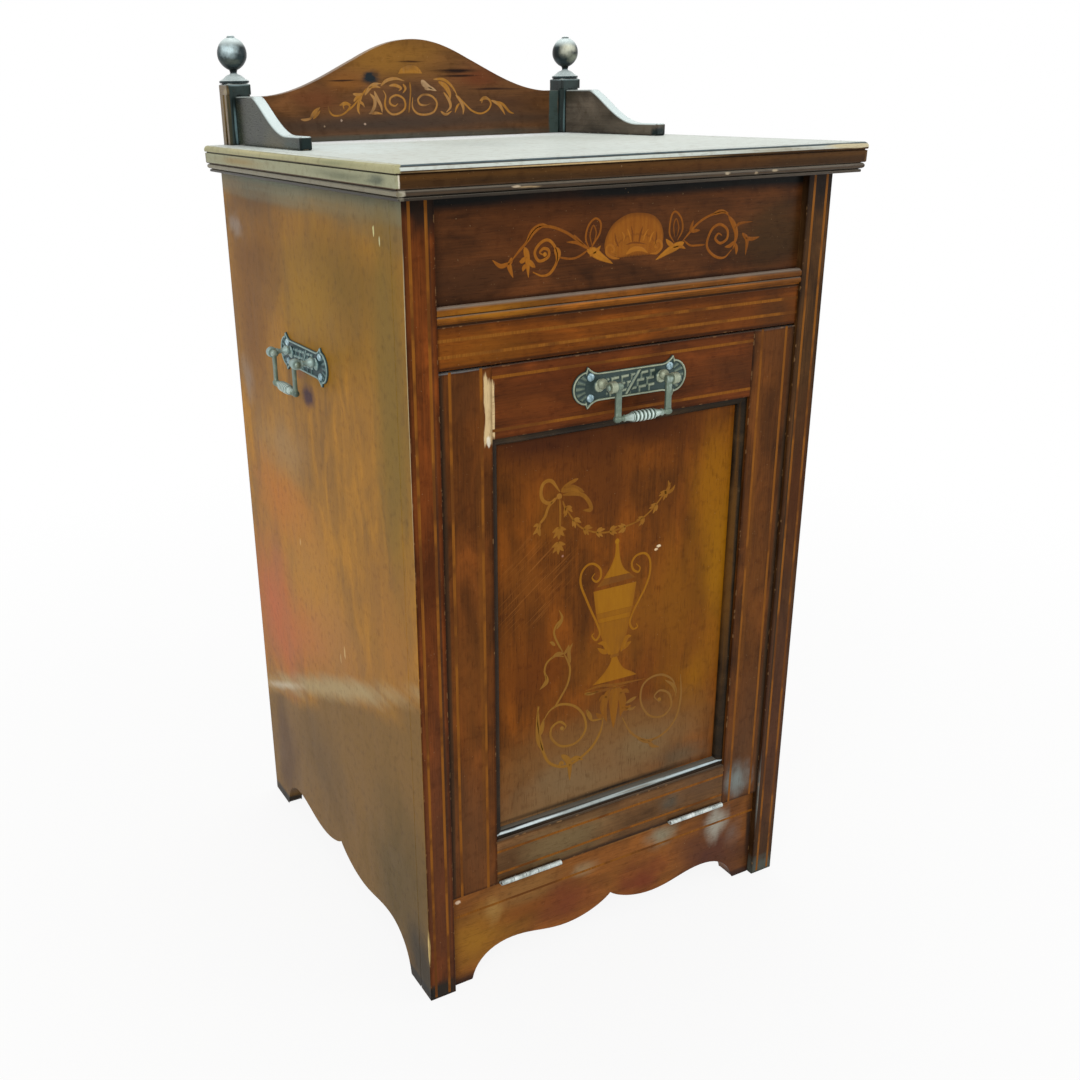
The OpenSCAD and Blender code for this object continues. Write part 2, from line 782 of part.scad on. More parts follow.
module handle_plate() {
    rim = 1.6;
    rib = 0.9;
    pitch = 7;
    post_r = 2.4;
    boss_r = 6;
    deck = plate_t + relief;
    difference() {
        union() {
            linear_extrude(plate_t) plate_outline(0);
            linear_extrude(deck) difference() {
                plate_outline(0);
                plate_outline(rim);
            }
            // lattice of the middle field, round a lozenge
            linear_extrude(deck - 0.3) intersection() {
                square([2 * (eye_x - boss_r), 2 * (band_half - rim) + 0.2], center = true);
                union() {
                    for (a = [-45, 45], i = [-4:4]) rotate(a) translate([i * pitch, 0]) square([rib, 90], center = true);
                    rotate(45) square(8, center = true);
                }
            }
            for (a = [-1, 1]) translate([a * eye_x, 0, 0]) {
                rotate_extrude() intersection() {
                    square([boss_r, plate_t + 3.5]);
                    union() {
                        square([boss_r, plate_t]);
                        translate([0, plate_t + 3.5 - boss_r]) circle(boss_r);
                    }
                }
                translate([0, pivot_up, 0]) cylinder(h = pivot_out, r = post_r);
                translate([-eye_w / 2, pivot_up, pivot_out]) rod_x(0, eye_w, eye_r);
                // ribs of the round end
                for (b = [-25, 0, 25]) translate([a * (plate_half - lobe_r - eye_x), 0, plate_t / 2 + deck / 2 - 0.4])
                    rotate(a > 0 ? b : 180 - b) translate([4.5, -rib / 2, -0.4]) cube([5.5, rib, 0.8]);
            }
        }
        translate([0, pivot_up, pivot_out]) rod_x(-eye_x - eye_w, eye_x + eye_w, bail_pin_r + pin_clear);
        handle_screw_places() translate([0, 0, -deck - cut]) cylinder(h = deck + 2 * cut, r = handle_screw_r + pin_clear);
        handle_screw_places() translate([0, 0, -deck - cut])
            cylinder(h = relief + cut, r = handle_screw_head_r + seat_clear);
    }
}

// a slotted round-head screw, its head seated on the backplate
module round_screw() {
    head_h = 1.8;
    translate([0, 0, -plate_t]) mirror([0, 0, 1]) difference() {
        union() {
            rotate_extrude() intersection() {
                square([handle_screw_head_r, head_h]);
                translate([0, head_h - 3.4]) circle(3.4);
            }
            translate([0, 0, -screw_len - plate_t]) cylinder(h = screw_len + plate_t + 0.5, r = handle_screw_r);
        }
        translate([-0.35, -handle_screw_head_r, head_h - 0.7]) cube([0.7, 2 * handle_screw_head_r, cut + 0.7]);
    }
}

module handle_screws() {
    handle_screw_places() round_screw();
}

// one half of the turned grip, as radius and distance from its middle
function grip_half() = [
    [grip_r, 0], [grip_r, 0.8], [grip_r - 0.7, 0.8], [grip_r - 0.7, 1.6],
    [grip_r - 0.2, 1.6], [grip_r - 0.2, 2.8], [grip_r - 0.8, 2.8], [grip_r - 0.8, 3.6],
    [grip_r - 0.4, 3.6], [grip_r - 0.4, 4.8], [grip_r - 1, 4.8], [arm_r + 0.5, 13],
    [arm_r + 1, 13], [arm_r + 1, 14.2], [arm_r - 0.2, 14.2], [arm_r - 0.2, arm_x - arm_r - 0.6],
    [arm_r + 0.8, arm_x - arm_r - 0.6], [arm_r + 0.8, arm_x + arm_r + 0.4],
    [arm_r - 0.5, arm_x + arm_r + 2], [0, arm_x + arm_r + 2.2]
];

// the hanging bail: a turned grip between two arms, with pins through the eyes
module handle_bail() {
    cap_r = 2.6;
    cap_t = 1.6;
    pin_end = eye_x + eye_w / 2 + 0.35;
    half = grip_half();
    translate([0, pivot_up, pivot_out]) {
        for (a = [-1, 1]) on_side(a) {
            translate([arm_x, -bail_drop, 0]) rotate([-90, 0, 0]) cylinder(h = bail_drop, r = arm_r);
            rod_x(arm_x - collar_w / 2, arm_x + collar_w / 2, arm_r + 1);
            rod_x(arm_x, pin_end + cap_t / 2, bail_pin_r);
            rod_x(pin_end, pin_end + cap_t, cap_r);
        }
        translate([0, -bail_drop, 0]) rotate([0, 90, 0]) rotate_extrude() polygon(concat(
            half, [for (i = [len(half) - 1:-1:1]) [half[i].x, -half[i].y]]));
    }
}

module side_handle_plate(s) {
    placed() color(old_brass) on_side(s) handle_on_side() handle_plate();
}

module side_handle_screws() {
    placed() color(old_brass) for (s = [-1, 1]) on_side(s) handle_on_side() handle_screws();
}

module side_handle_bail(s) {
    placed() color(old_brass) on_side(s) handle_on_side() handle_bail();
}

module door_handle_plate() {
    placed() color(old_brass) door_handle_at() handle_plate();
}

module door_handle_screws() {
    placed() color(old_brass) door_handle_at() handle_screws();
}

module door_handle_bail() {
    placed() color(old_brass) door_handle_at() handle_bail();
}

// ---- carriage and liner ----
// a point at a radius and a swing behind the vertical, both about the hinge axis
function swung(r, a) = [r * sin(a) - axis_out, r * cos(a) + axis_z];

module carriage_cheek(s) {
    start = asin((door_back + axis_out) / cheek_r);
    end = stop_deg + horn_deg;
    arc = [for (i = [0:20]) swung(cheek_r, start + (stop_deg - start) * i / 20)];
    placed() color(deal) on_side(s) sideways(cheek_x, cheek_t) polygon(concat(
        [[door_back, carriage_z]], arc,
        [swung(horn_r, stop_deg), swung(horn_r, end), swung(cheek_r, end), [base_back, base_top + 60],
            [base_back, carriage_z]]));
}

module carriage_base() {
    placed() color(deal) block([-cheek_x, door_back, carriage_z], [cheek_x, base_back, base_top]);
}

// side view of the liner, walls drawn in by an amount
module liner_side(inset, rise) {
    lean = liner_lean / liner_back_h;
    polygon([[liner_y + inset, base_top + inset], [liner_y + liner_foot - inset, base_top + inset],
        [liner_y + liner_foot - inset + lean * (liner_back_h + rise), liner_back_z + rise],
        [liner_y + inset, liner_front_z + rise]]);
}

module liner() {
    grow = rim_w - sheet_t;
    back = liner_y + liner_foot + liner_lean;
    placed() color(sheet_iron) difference() {
        union() {
            sideways(-liner_x, 2 * liner_x) liner_side(0, 0);
            sideways(-rim_x, 2 * rim_x) polygon([[liner_y - grow, liner_front_z - rim_w], [back + grow, liner_back_z - rim_w],
                [back + grow, liner_back_z], [liner_y - grow, liner_front_z]]);
        }
        sideways(-liner_x + sheet_t, 2 * (liner_x - sheet_t)) liner_side(sheet_t, cut);
        rivet_places() rod_x(-2 * sheet_t, 2 * sheet_t, rivet_r + pin_clear);
    }
}

// both rows of rivets along the back seam, drawn about the outer face of the side wall
module rivet_places() {
    count = 6;
    inset = 12;
    for (s = [-1, 1], i = [0:count - 1]) {
        t = (i + 0.5) / count;
        on_side(s) translate([liner_x, liner_y + liner_foot - inset + liner_lean * t, base_top + liner_back_h * t * 0.95])
            children();
    }
}

module liner_rivets() {
    dome = 1.5;
    placed() color(sheet_iron) rivet_places() {
        rod_x(-sheet_t - 0.8, 0.5, rivet_r);
        rotate([0, 90, 0]) rotate_extrude() intersection() {
            square([2 * rivet_r, dome]);
            translate([0, dome - 3.6]) circle(3.6);
        }
        translate([-sheet_t - 0.8, 0, 0]) rod_x(0, 0.8, 2 * rivet_r);
    }
}

// ---- stringing ----
module stile_stringing() {
    foot = 2;
    for (x = [5, 17]) block([half_w - x - string_w / 2, -0, foot], [half_w - x + string_w / 2, inlay_t, case_h]);
}

module rail_stringing() {
    for (z = [9, 20]) block([-stile_in_x, rail_in, rail_z + z - string_w / 2],
        [stile_in_x, rail_in + inlay_t, rail_z + z + string_w / 2]);
}

module apron_stringing() {
    z = apron_h - 20.6;
    block([-stile_in_x, frieze_in, z - string_w / 2], [stile_in_x, frieze_in + inlay_t, z + string_w / 2]);
}

module carcass_stringing() {
    placed() color(boxwood) {
        for (s = [-1, 1]) on_side(s) stile_stringing();
        rail_stringing();
        apron_stringing();
    }
}

module door_stile_stringing() {
    for (x = [8.5, 32.5]) block([door_x - x - string_w / 2, door_in, door_z],
        [door_x - x + string_w / 2, door_in + inlay_t, door_top]);
}

module door_top_stringing() {
    for (z = [7.5, 45]) block([-open_x, door_in, door_top - z - string_w / 2],
        [open_x, door_in + inlay_t, door_top - z + string_w / 2]);
}

module door_bottom_stringing() {
    for (z = [10, 30.5]) block([-open_x, door_in, door_z + z - string_w / 2],
        [open_x, door_in + inlay_t, door_z + z + string_w / 2]);
}

module door_stringing() {
    placed() color(boxwood) {
        for (s = [-1, 1]) on_side(s) door_stile_stringing();
        door_top_stringing();
        door_bottom_stringing();
    }
}

// ---- marquetry ----
// direction of a line of points at one of them, as a unit vector
function heading(p, i) =
    let (d = p[min(i + 1, len(p) - 1)] - p[max(i - 1, 0)]) d / norm(d);
// half width along a stem: fine at both ends, full between
function swell(t, w) = w / 2 * (0.35 + 0.65 * sin(180 * t));
// a stem or ribbon along a line of points
module stem(p, w = stem_w) {
    n = len(p) - 1;
    side = [for (i = [0:n]) let (h = heading(p, i)) swell(i / n, w) * [-h.y, h.x]];
    polygon(concat([for (i = [0:n]) p[i] + side[i]], [for (i = [n:-1:0]) p[i] - side[i]]));
}
// a curl that closes in on a centre, starting at angle a0 and turning through a number of degrees
function curl(c, r0, r1, a0, turn, n = 22) =
    [for (i = [0:n]) let (t = i / n, a = a0 + turn * t, r = r0 + (r1 - r0) * t) c + r * [cos(a), sin(a)]];
// a pointed leaf from a to b
module leaf(a, b, w) {
    d = b - a;
    side = w / 2 * [-d.y, d.x] / norm(d);
    polygon([a, a + 0.3 * d + 0.8 * side, a + 0.55 * d + side, b, a + 0.55 * d - side, a + 0.3 * d - 0.8 * side]);
}

// stretches a pattern from the field it is drawn on, width and height, to the field it fills
module fill_field(drawn, real) {
    scale([real.x / drawn.x, real.y / drawn.y]) children();
}

module fill_frieze(up) {
    translate([0, frieze_z]) fill_field([314, 70], [2 * stile_in_x, frieze_h]) translate([0, up]) children();
}

module fill_gallery(up) {
    translate([0, top_z]) fill_field([311, 83.7], [2 * arch_x, arch_h]) translate([0, up]) children();
}

module fill_panel(up) {
    translate([0, open_z0]) fill_field([231, 333.6], [2 * open_x, open_z1 - open_z0]) translate([0, up])
        children();
}

// shell between two leafy scrolls, centred on the frieze
module frieze_pattern() {
    shell_r = 17;
    fill_frieze(33) {
        difference() {
            circle(shell_r + 7);
            translate([-40, -80]) square([80, 71]);
        }
        for (s = [-1, 1]) mirror([s < 0 ? 1 : 0, 0]) {
            leaf([29, -13], [47, -1], 9);
            leaf([33, 0], [40, 15], 7);
            stem(curve([[45, -3], [56, -12], [66, -12], [75, -6]], 12));
            stem(curl([79, -4], 14, 3, 200, -560, 34), 2.6);
            stem(curve([[47, 0], [66, 22], [92, 20], [104, -4]], 14), 2.4);
            leaf([99, -2], [117, -4], 7);
            leaf([100, -2], [104, -17], 7);
        }
    }
}

// fan over two ovals between scrolls, centred on the gallery board
module gallery_pattern() {
    fill_gallery(25) {
        difference() {
            translate([0, 27]) circle(11.5);
            translate([-20, 0]) square([40, 24]);
        }
        for (s = [-1, 1]) mirror([s < 0 ? 1 : 0, 0]) {
            leaf([9, 26], [4, -9], 7);
            leaf([12, 2], [22, 14], 6);
            stem(curl([17, 7], 9.5, 2, 90, -420, 24));
            stem(curve([[26, 4], [50, -9], [78, -4], [94, 4]], 14), 2.4);
            stem(curl([98, -1], 8, 2, 120, -430, 22), 2.2);
            leaf([46, 1], [62, 11], 6);
            leaf([60, -3], [70, -13], 6);
        }
    }
}

// covered urn with two scrolled handles and the leaves under its foot
module urn_pattern() {
    fill_panel(212) {
        polygon([[-9, -2], [-6, 4], [-2.2, 10], [-1.2, 17], [1.2, 17], [2.6, 9], [8, 2], [13, -6]]);
        translate([0, 18]) circle(2.6);
        polygon([[-22, -8], [20, -12], [19, -17], [-21, -13]]);
        polygon([[-20, -16], [18, -20], [13, -56], [-13, -56]]);
        polygon([[-12, -58], [12, -58], [3, -79], [-3, -79]]);
        leaf([0, -76], [-17, -94], 8);
        leaf([0, -76], [17, -94], 8);
        leaf([0, -74], [0, -99], 9);
        leaf([0, -102], [0, -126], 15);
        leaf([0, -129], [0, -145], 8);
        for (s = [-1, 1]) mirror([s < 0 ? 1 : 0, 0]) {
            stem(curl([25, 3], 9.5, 2.5, 0, 480, 26), 2);
            stem(curve([[34, 2], [35, -18], [26, -34], [17, -48]], 12), 2);
        }
    }
}

// ribbon bow on the left with a leafy swag hanging across to the right
module swag_pattern() {
    fill_panel(276) {
        translate([-56, -1]) circle(3);
        for (tip = [[-69, 15], [-37, 12]]) difference() {
            leaf([-56, 0], tip, 15);
            leaf([-56, 0] + 0.35 * (tip - [-56, 0]), [-56, 0] + 0.85 * (tip - [-56, 0]), 7);
        }
        stem(curve([[-58, -3], [-62, -12], [-70, -14], [-74, -23]], 10), 4);
        stem(curve([[-55, -3], [-52, -18], [-58, -26], [-55, -41]], 10), 4.4);
        stem(curve([[-54, -3], [-34, -42], [20, -46], [50, -2]], 26), 2.2);
        for (i = [1:8]) {
            spine = [[-54, -3], [-34, -42], [20, -46], [50, -2]];
            a = curve_at(spine, i / 9);
            d = curve_at(spine, i / 9 + 0.01) - a;
            u = d / norm(d);
            leaf(a, a + 7 * u + 5 * [-u.y, u.x], 4);
            leaf(a, a + 7 * u - 5 * [-u.y, u.x], 4);
        }
        leaf([50, -3], [56, 12], 4);
    }
}

// scrolling acanthus stems at the foot of the panel, with a tendril climbing on the left
module scroll_pattern() {
    fill_panel(80) {
        stem(curl([-48, 1], 22, 4, 250, -520, 34), 4);
        stem(curl([45, 1], 22, 4, -70, 520, 34), 4);
        stem(curve([[-54, -20], [-38, -30], [-20, -26], [-10, -8]], 12), 4);
        stem(curve([[54, -19], [40, -28], [22, -26], [10, -8]], 12), 4);
        leaf([-38, -28], [-44, -45], 10);
        leaf([-58, -18], [-74, -24], 9);
        leaf([60, -18], [72, -26], 9);
        stem(curve([[-49, 26], [-38, 46], [-40, 60], [-52, 78]], 12), 3);
        stem(curve([[-50, 75], [-60, 86], [-58, 98], [-51, 101]], 10), 2.4);
        leaf([-46, 44], [-66, 62], 8);
        leaf([-50, 32], [-70, 44], 8);
    }
}

module frieze_marquetry() {
    placed() color(boxwood) upright(frieze_in, inlay_t) frieze_pattern();
}

module gallery_marquetry() {
    placed() color(boxwood) upright(gallery_y, inlay_t) gallery_pattern();
}

module panel_marquetry_urn() {
    placed() color(boxwood) upright(panel_y, inlay_t) urn_pattern();
}

module panel_marquetry_swag() {
    placed() color(boxwood) upright(panel_y, inlay_t) swag_pattern();
}

module panel_marquetry_scrolls() {
    placed() color(boxwood) upright(panel_y, inlay_t) scroll_pattern();
}

side_panel(-1);  // side_panel_left
side_panel(1);  // side_panel_right
front_stile(-1);  // front_stile_left
front_stile(1);  // front_stile_right
back_panel();
bottom_board();
bottom_bearers();
glue_blocks();
top_board();
top_moulding();
top_cleats();
frieze_board();
frieze_bead();
head_rail();
apron();
gallery_board();
gallery_post(-1);  // gallery_post_left
gallery_post(1);  // gallery_post_right
finial(-1);  // finial_left
finial(1);  // finial_right
gallery_bracket(-1);  // gallery_bracket_left
gallery_bracket(1);  // gallery_bracket_right
door_stops();
carcass_stringing();
frieze_marquetry();
gallery_marquetry();
hinge_leaves_carcass();
hinge_pins();
hinge_screws_carcass();
side_handle_plate(-1);  // side_handle_plate_left
side_handle_plate(1);  // side_handle_plate_right
side_handle_screws();
door_stile(-1);  // door_stile_left
door_stile(1);  // door_stile_right
door_rail_top();
door_rail_bottom();
door_panel();
panel_moulding();
door_stringing();
panel_marquetry_urn();
panel_marquetry_swag();
panel_marquetry_scrolls();
hinge_leaves_door();
hinge_screws_door();
door_handle_plate();
door_handle_screws();
carriage_cheek(-1);  // carriage_cheek_left
carriage_cheek(1);  // carriage_cheek_right
carriage_base();
liner();
liner_rivets();
door_handle_bail();
side_handle_bail(-1);  // side_handle_bail_left
side_handle_bail(1);  // side_handle_bail_right
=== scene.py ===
"""An Edwardian inlaid mahogany coal cabinet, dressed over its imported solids. Sizes are metres."""
from math import cos, pi, radians, sin

import bmesh
import bpy
import numpy as np
from mathutils import Matrix, Vector


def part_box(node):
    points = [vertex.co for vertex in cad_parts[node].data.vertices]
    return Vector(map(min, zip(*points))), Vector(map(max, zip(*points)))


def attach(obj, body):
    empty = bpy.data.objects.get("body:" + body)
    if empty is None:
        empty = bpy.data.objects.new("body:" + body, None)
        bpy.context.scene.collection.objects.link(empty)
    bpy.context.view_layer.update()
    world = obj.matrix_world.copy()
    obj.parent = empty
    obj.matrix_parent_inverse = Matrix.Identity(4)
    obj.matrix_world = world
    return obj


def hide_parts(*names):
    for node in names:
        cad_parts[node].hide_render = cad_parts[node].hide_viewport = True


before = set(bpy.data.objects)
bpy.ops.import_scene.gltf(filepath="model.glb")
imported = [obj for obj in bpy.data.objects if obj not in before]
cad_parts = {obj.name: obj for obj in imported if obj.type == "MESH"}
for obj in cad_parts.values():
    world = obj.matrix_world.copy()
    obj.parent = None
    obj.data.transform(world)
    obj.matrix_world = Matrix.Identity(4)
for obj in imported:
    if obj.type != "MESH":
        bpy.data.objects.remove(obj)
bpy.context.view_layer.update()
mm = 0.001

# ---- Camera ----
# The photographer stood to the left of the door and a little above the top, close enough for the
# uprights to lean together. The shift follows the way the picture was cropped.
camera_place = Vector((-0.50287, -0.86322, 0.69152))
to_right = Vector((0.879097, -0.476302, -0.018031))
to_below = Vector((-0.190477, -0.316378, -0.929313))
ahead = Vector((0.436929, 0.820391, -0.368851))
lens = bpy.data.cameras.new("camera")
lens.sensor_width = 36
lens.lens = 39.26
lens.shift_x = 0.0644
lens.shift_y = 0.0153
lens.clip_end = 200
camera = bpy.data.objects.new("camera", lens)
turn = Matrix((to_right, -to_below, -ahead)).transposed()
camera.matrix_world = Matrix.Translation(camera_place) @ turn.to_4x4()
bpy.context.collection.objects.link(camera)
bpy.context.scene.camera = camera
bpy.context.scene.view_settings.view_transform = "Standard"


# ---- Floor, air and lamps ----
# A white paper floor that runs out of sight and keeps a soft shadow, under a pale sky.
# One broad lamp stands to the front left, one hangs over the top and a weak one fills the right.
class Wire:
    """A socket of a node tree. Arithmetic on it adds Math nodes."""

    def __init__(self, tree, socket=None):
        self.tree = tree
        self.socket = socket

    def node(self, kind, settings=None, values=None, out=0):
        """Adds a node: its settings first, then the values or wires of its sockets."""
        made = self.tree.nodes.new(kind)
        for key, value in (settings or {}).items():
            if key == "stops":
                ramp = made.color_ramp.elements
                for _ in value[2:]:
                    ramp.new(0.5)
                for stop, (at, colour) in zip(ramp, value):
                    stop.position = at
                    stop.color = colour
            else:
                setattr(made, key, value)
        for key, value in (values or {}).items():
            if isinstance(value, Wire):
                self.tree.links.new(value.socket, made.inputs[key])
            else:
                made.inputs[key].default_value = value
        return Wire(self.tree, made.outputs[out])

    def math(self, operation, first, second=0.0):
        return self.node("ShaderNodeMath", {"operation": operation}, {0: first, 1: second})

    def __add__(self, other):
        return self.math("ADD", self, other)

    def __radd__(self, other):
        return self.math("ADD", other, self)

    def __sub__(self, other):
        return self.math("SUBTRACT", self, other)

    def __rsub__(self, other):
        return self.math("SUBTRACT", other, self)

    def __mul__(self, other):
        return self.math("MULTIPLY", self, other)

    def __rmul__(self, other):
        return self.math("MULTIPLY", other, self)

    def __truediv__(self, other):
        return self.math("DIVIDE", self, other)

    def low(self, other):
        return self.math("MINIMUM", self, other)

    def high(self, other):
        return self.math("MAXIMUM", self, other)


def seen_white(tree):
    """1 for rays from the camera, off gloss or through glass, 0 for rays that light the object."""
    path = tree.nodes.new("ShaderNodeLightPath")
    seen = Wire(tree, path.outputs["Is Camera Ray"])
    seen = seen.high(Wire(tree, path.outputs["Is Glossy Ray"]))
    return seen.high(Wire(tree, path.outputs["Is Transmission Ray"]))


paper_reach = 30.0
paper_mesh = bpy.data.meshes.new("floor")
paper_mesh.from_pydata([(x, y, 0) for x, y in ((-1, -1), (1, -1), (1, 1), (-1, 1))], [],
                       [(0, 1, 2, 3)])
paper_mesh.transform(Matrix.Scale(paper_reach, 4))
floor = bpy.data.objects.new("floor", paper_mesh)
bpy.context.collection.objects.link(floor)
paper = bpy.data.materials.new("paper")
paper.use_nodes = True
floor.data.materials.append(paper)
paper_tree = paper.node_tree
paper_shader = paper_tree.nodes["Principled BSDF"]
paper_shader.inputs["Base Color"].default_value = (0.8, 0.8, 0.79, 1)
paper_shader.inputs["Roughness"].default_value = 0.9
paper_shader.inputs["Specular IOR Level"].default_value = 0.0
paper_light = Wire(paper_tree).node("ShaderNodeEmission", {},
                                    {"Color": (1, 1, 1, 1), "Strength": 1.0})
paper_place = Wire(paper_tree).node("ShaderNodeTexCoord", out="Object")
paper_far = paper_place.node("ShaderNodeVectorMath", {"operation": "LENGTH"}, {0: paper_place},
                             out=1)
paper_fade = paper_far.node("ShaderNodeMapRange", {"interpolation_type": "SMOOTHSTEP"},
                            {0: paper_far, 1: 0.3, 2: 1.4, 3: 0.90, 4: 1.0})
paper_mix = Wire(paper_tree).node("ShaderNodeMixShader", {}, {
    0: seen_white(paper_tree) * paper_fade, 1: Wire(paper_tree, paper_shader.outputs[0]),
    2: paper_light})
paper_tree.links.new(paper_mix.socket, paper_tree.nodes["Material Output"].inputs[0])

sky = bpy.data.worlds.new("sky")
sky.use_nodes = True
bpy.context.scene.world = sky
sky_light = sky.node_tree.nodes["Background"]
sky_light.inputs["Color"].default_value = (1, 1, 1, 1)
sky_level = 0.5 + 0.5 * seen_white(sky.node_tree)
sky.node_tree.links.new(sky_level.socket, sky_light.inputs["Strength"])


def soft_lamp(name, place, aim, size, power):
    """A square lamp of that size at a place, facing the point that it aims at."""
    light = bpy.data.lights.new(name, "AREA")
    light.size = size
    light.energy = power
    lamp = bpy.data.objects.new(name, light)
    lamp.location = place
    lamp.rotation_euler = (Vector(aim) - Vector(place)).to_track_quat("-Z", "Y").to_euler()
    bpy.context.collection.objects.link(lamp)


soft_lamp("left_lamp", (-2.0, -1.9, 1.7), (0, 0, 0.35), 1.2, 34)
soft_lamp("top_lamp", (0.3, 0.5, 2.6), (0, 0, 0.65), 1.4, 22)
soft_lamp("right_lamp", (1.9, -1.6, 1.0), (0, 0, 0.3), 1.0, 10)


# ---- Top board ----
# A wide mahogany board, French polished. Its upper face is painted pale grey-white for the sky that
# it reflects, whitest towards the back, and its upper edge is worn round with a painted highlight
# along it. A line is scribed a finger's breadth inside the edge.
def tone(red, green, blue):
    """A colour as the eye sees it, 0 to 255, turned into the light that it reflects."""
    level = np.array((red, green, blue)) / 255
    light = np.where(level < 0.04045, level / 12.92, ((level + 0.055) / 1.055) ** 2.4)
    return (*light.tolist(), 1.0)


def blank_finish(name):
    """A new material, with a wire of the piece's own coordinates and its shader."""
    finish = bpy.data.materials.new(name)
    finish.use_nodes = True
    place = Wire(finish.node_tree).node("ShaderNodeTexCoord", out="Object")
    return finish, place, finish.node_tree.nodes["Principled BSDF"]


def feed(shader, **wires):
    """Plugs wires or plain values into a shader's sockets, spelt with _ for a space."""
    for key, value in wires.items():
        socket = shader.inputs[key.replace("_", " ")]
        if isinstance(value, Wire):
            value.tree.links.new(value.socket, socket)
        else:
            socket.default_value = value


def blend_of(mask, under, over):
    """under where the mask is 0, over where it is 1."""
    return mask.node("ShaderNodeMix", {"data_type": "RGBA"}, {0: mask, 6: under, 7: over}, out=2)


def darken(mask, colour, by):
    """colour times by, where the mask is 1."""
    return mask.node("ShaderNodeMix", {"data_type": "RGBA", "blend_type": "MULTIPLY"},
                     {0: mask, 6: colour, 7: by}, out=2)


def ramp_up(value, low, high):
    """0 below low, 1 above high, with a smooth rise between."""
    return value.node("ShaderNodeMapRange", {"interpolation_type": "SMOOTHSTEP"},
                      {0: value, 1: low, 2: high, 3: 0.0, 4: 1.0})


def split(place):
    """The x, y and z of a place."""
    parts = place.node("ShaderNodeSeparateXYZ", {}, {0: place})
    return [Wire(place.tree, parts.socket.node.outputs[i]) for i in range(3)]


def clouds(place, scale, detail=3, shift=0.0, twist=0.0):
    """Noise whose cells are 1 / scale metres along each axis."""
    spread = place.node("ShaderNodeVectorMath", {"operation": "MULTIPLY_ADD"},
                        {0: place, 1: scale, 2: (shift, 1.7 * shift, 0.6 * shift)})
    return place.node("ShaderNodeTexNoise", {},
                      {"Vector": spread, "Scale": 1.0, "Detail": detail, "Distortion": twist})


def along_grain(axis, across, along):
    """Noise scales for wood whose grain runs along one axis."""
    return tuple(along if letter == axis else across for letter in "xyz")


def edge_gap(place, low, high):
    """Distance from a point on a box's surface to the nearest edge: the middle one of the three
    distances to the nearer face across each axis."""
    gaps = [(part - low[i]).low(high[i] - part) for i, part in enumerate(split(place))]
    return gaps[0].low(gaps[1]).high(gaps[0].high(gaps[1]).low(gaps[2]))


def spot(place, patch, shift=0.0):
    """A patch (centre, reach, softness, colour, amount, slope, square) as a mask: 1 at its centre,
    0 past its reach along each axis, with a ragged edge. A slope lets it climb along y, and a
    square one takes the greatest of the three distances in place of their length."""
    centre, reach, soft = patch[:3]
    slope, square = (*patch[5:], 0.0, False)[:2] if len(patch) > 5 else (0.0, False)
    away = place.node("ShaderNodeVectorMath", {"operation": "SUBTRACT"}, {0: place, 1: centre})
    if slope:
        away = away.node("ShaderNodeVectorMath", {"operation": "MULTIPLY_ADD"},
                         {0: split(away)[1], 1: (0, 0, -slope), 2: away})
    away = away.node("ShaderNodeVectorMath", {"operation": "DIVIDE"}, {0: away, 1: reach})
    if square:
        away = away.node("ShaderNodeVectorMath", {"operation": "ABSOLUTE"}, {0: away})
        x, y, z = split(away)
        away = x.high(y).high(z)
    else:
        away = away.node("ShaderNodeVectorMath", {"operation": "LENGTH"}, {0: away}, out=1)
    rag = clouds(place, tuple(1.1 / part for part in reach), 5, shift)
    return ramp_up(away + 1.2 * (rag - 0.5), 1.0, 1.0 - soft)


def on_face(face, rows, deep=0.03):
    """Patches on an upright face that looks forward. A row gives a patch's centre across and up,
    its reach across and up, and then softness, colour and amount."""
    return [((x, face, z), (wide, deep, tall), *rest) for x, z, wide, tall, *rest in rows]


def shades(colour, spread):
    """Four shades of a colour, dark to light."""
    return [[min(255, part * (1 + step * spread)) for part in colour]
            for step in (-1.5, -0.4, 0.5, 1.6)]


def picked(value, stops, colours):
    """The colour that a value picks, blended between colours that stand at the stops."""
    return value.node("ShaderNodeValToRGB",
                      {"stops": [(at, tone(*colour)) for at, colour in zip(stops, colours)]},
                      {0: value})


def bumps(height, strength, distance):
    """The normals of a surface that a height raises by up to that distance in metres."""
    return height.node("ShaderNodeBump", {},
                       {"Strength": strength, "Distance": distance, "Height": height})


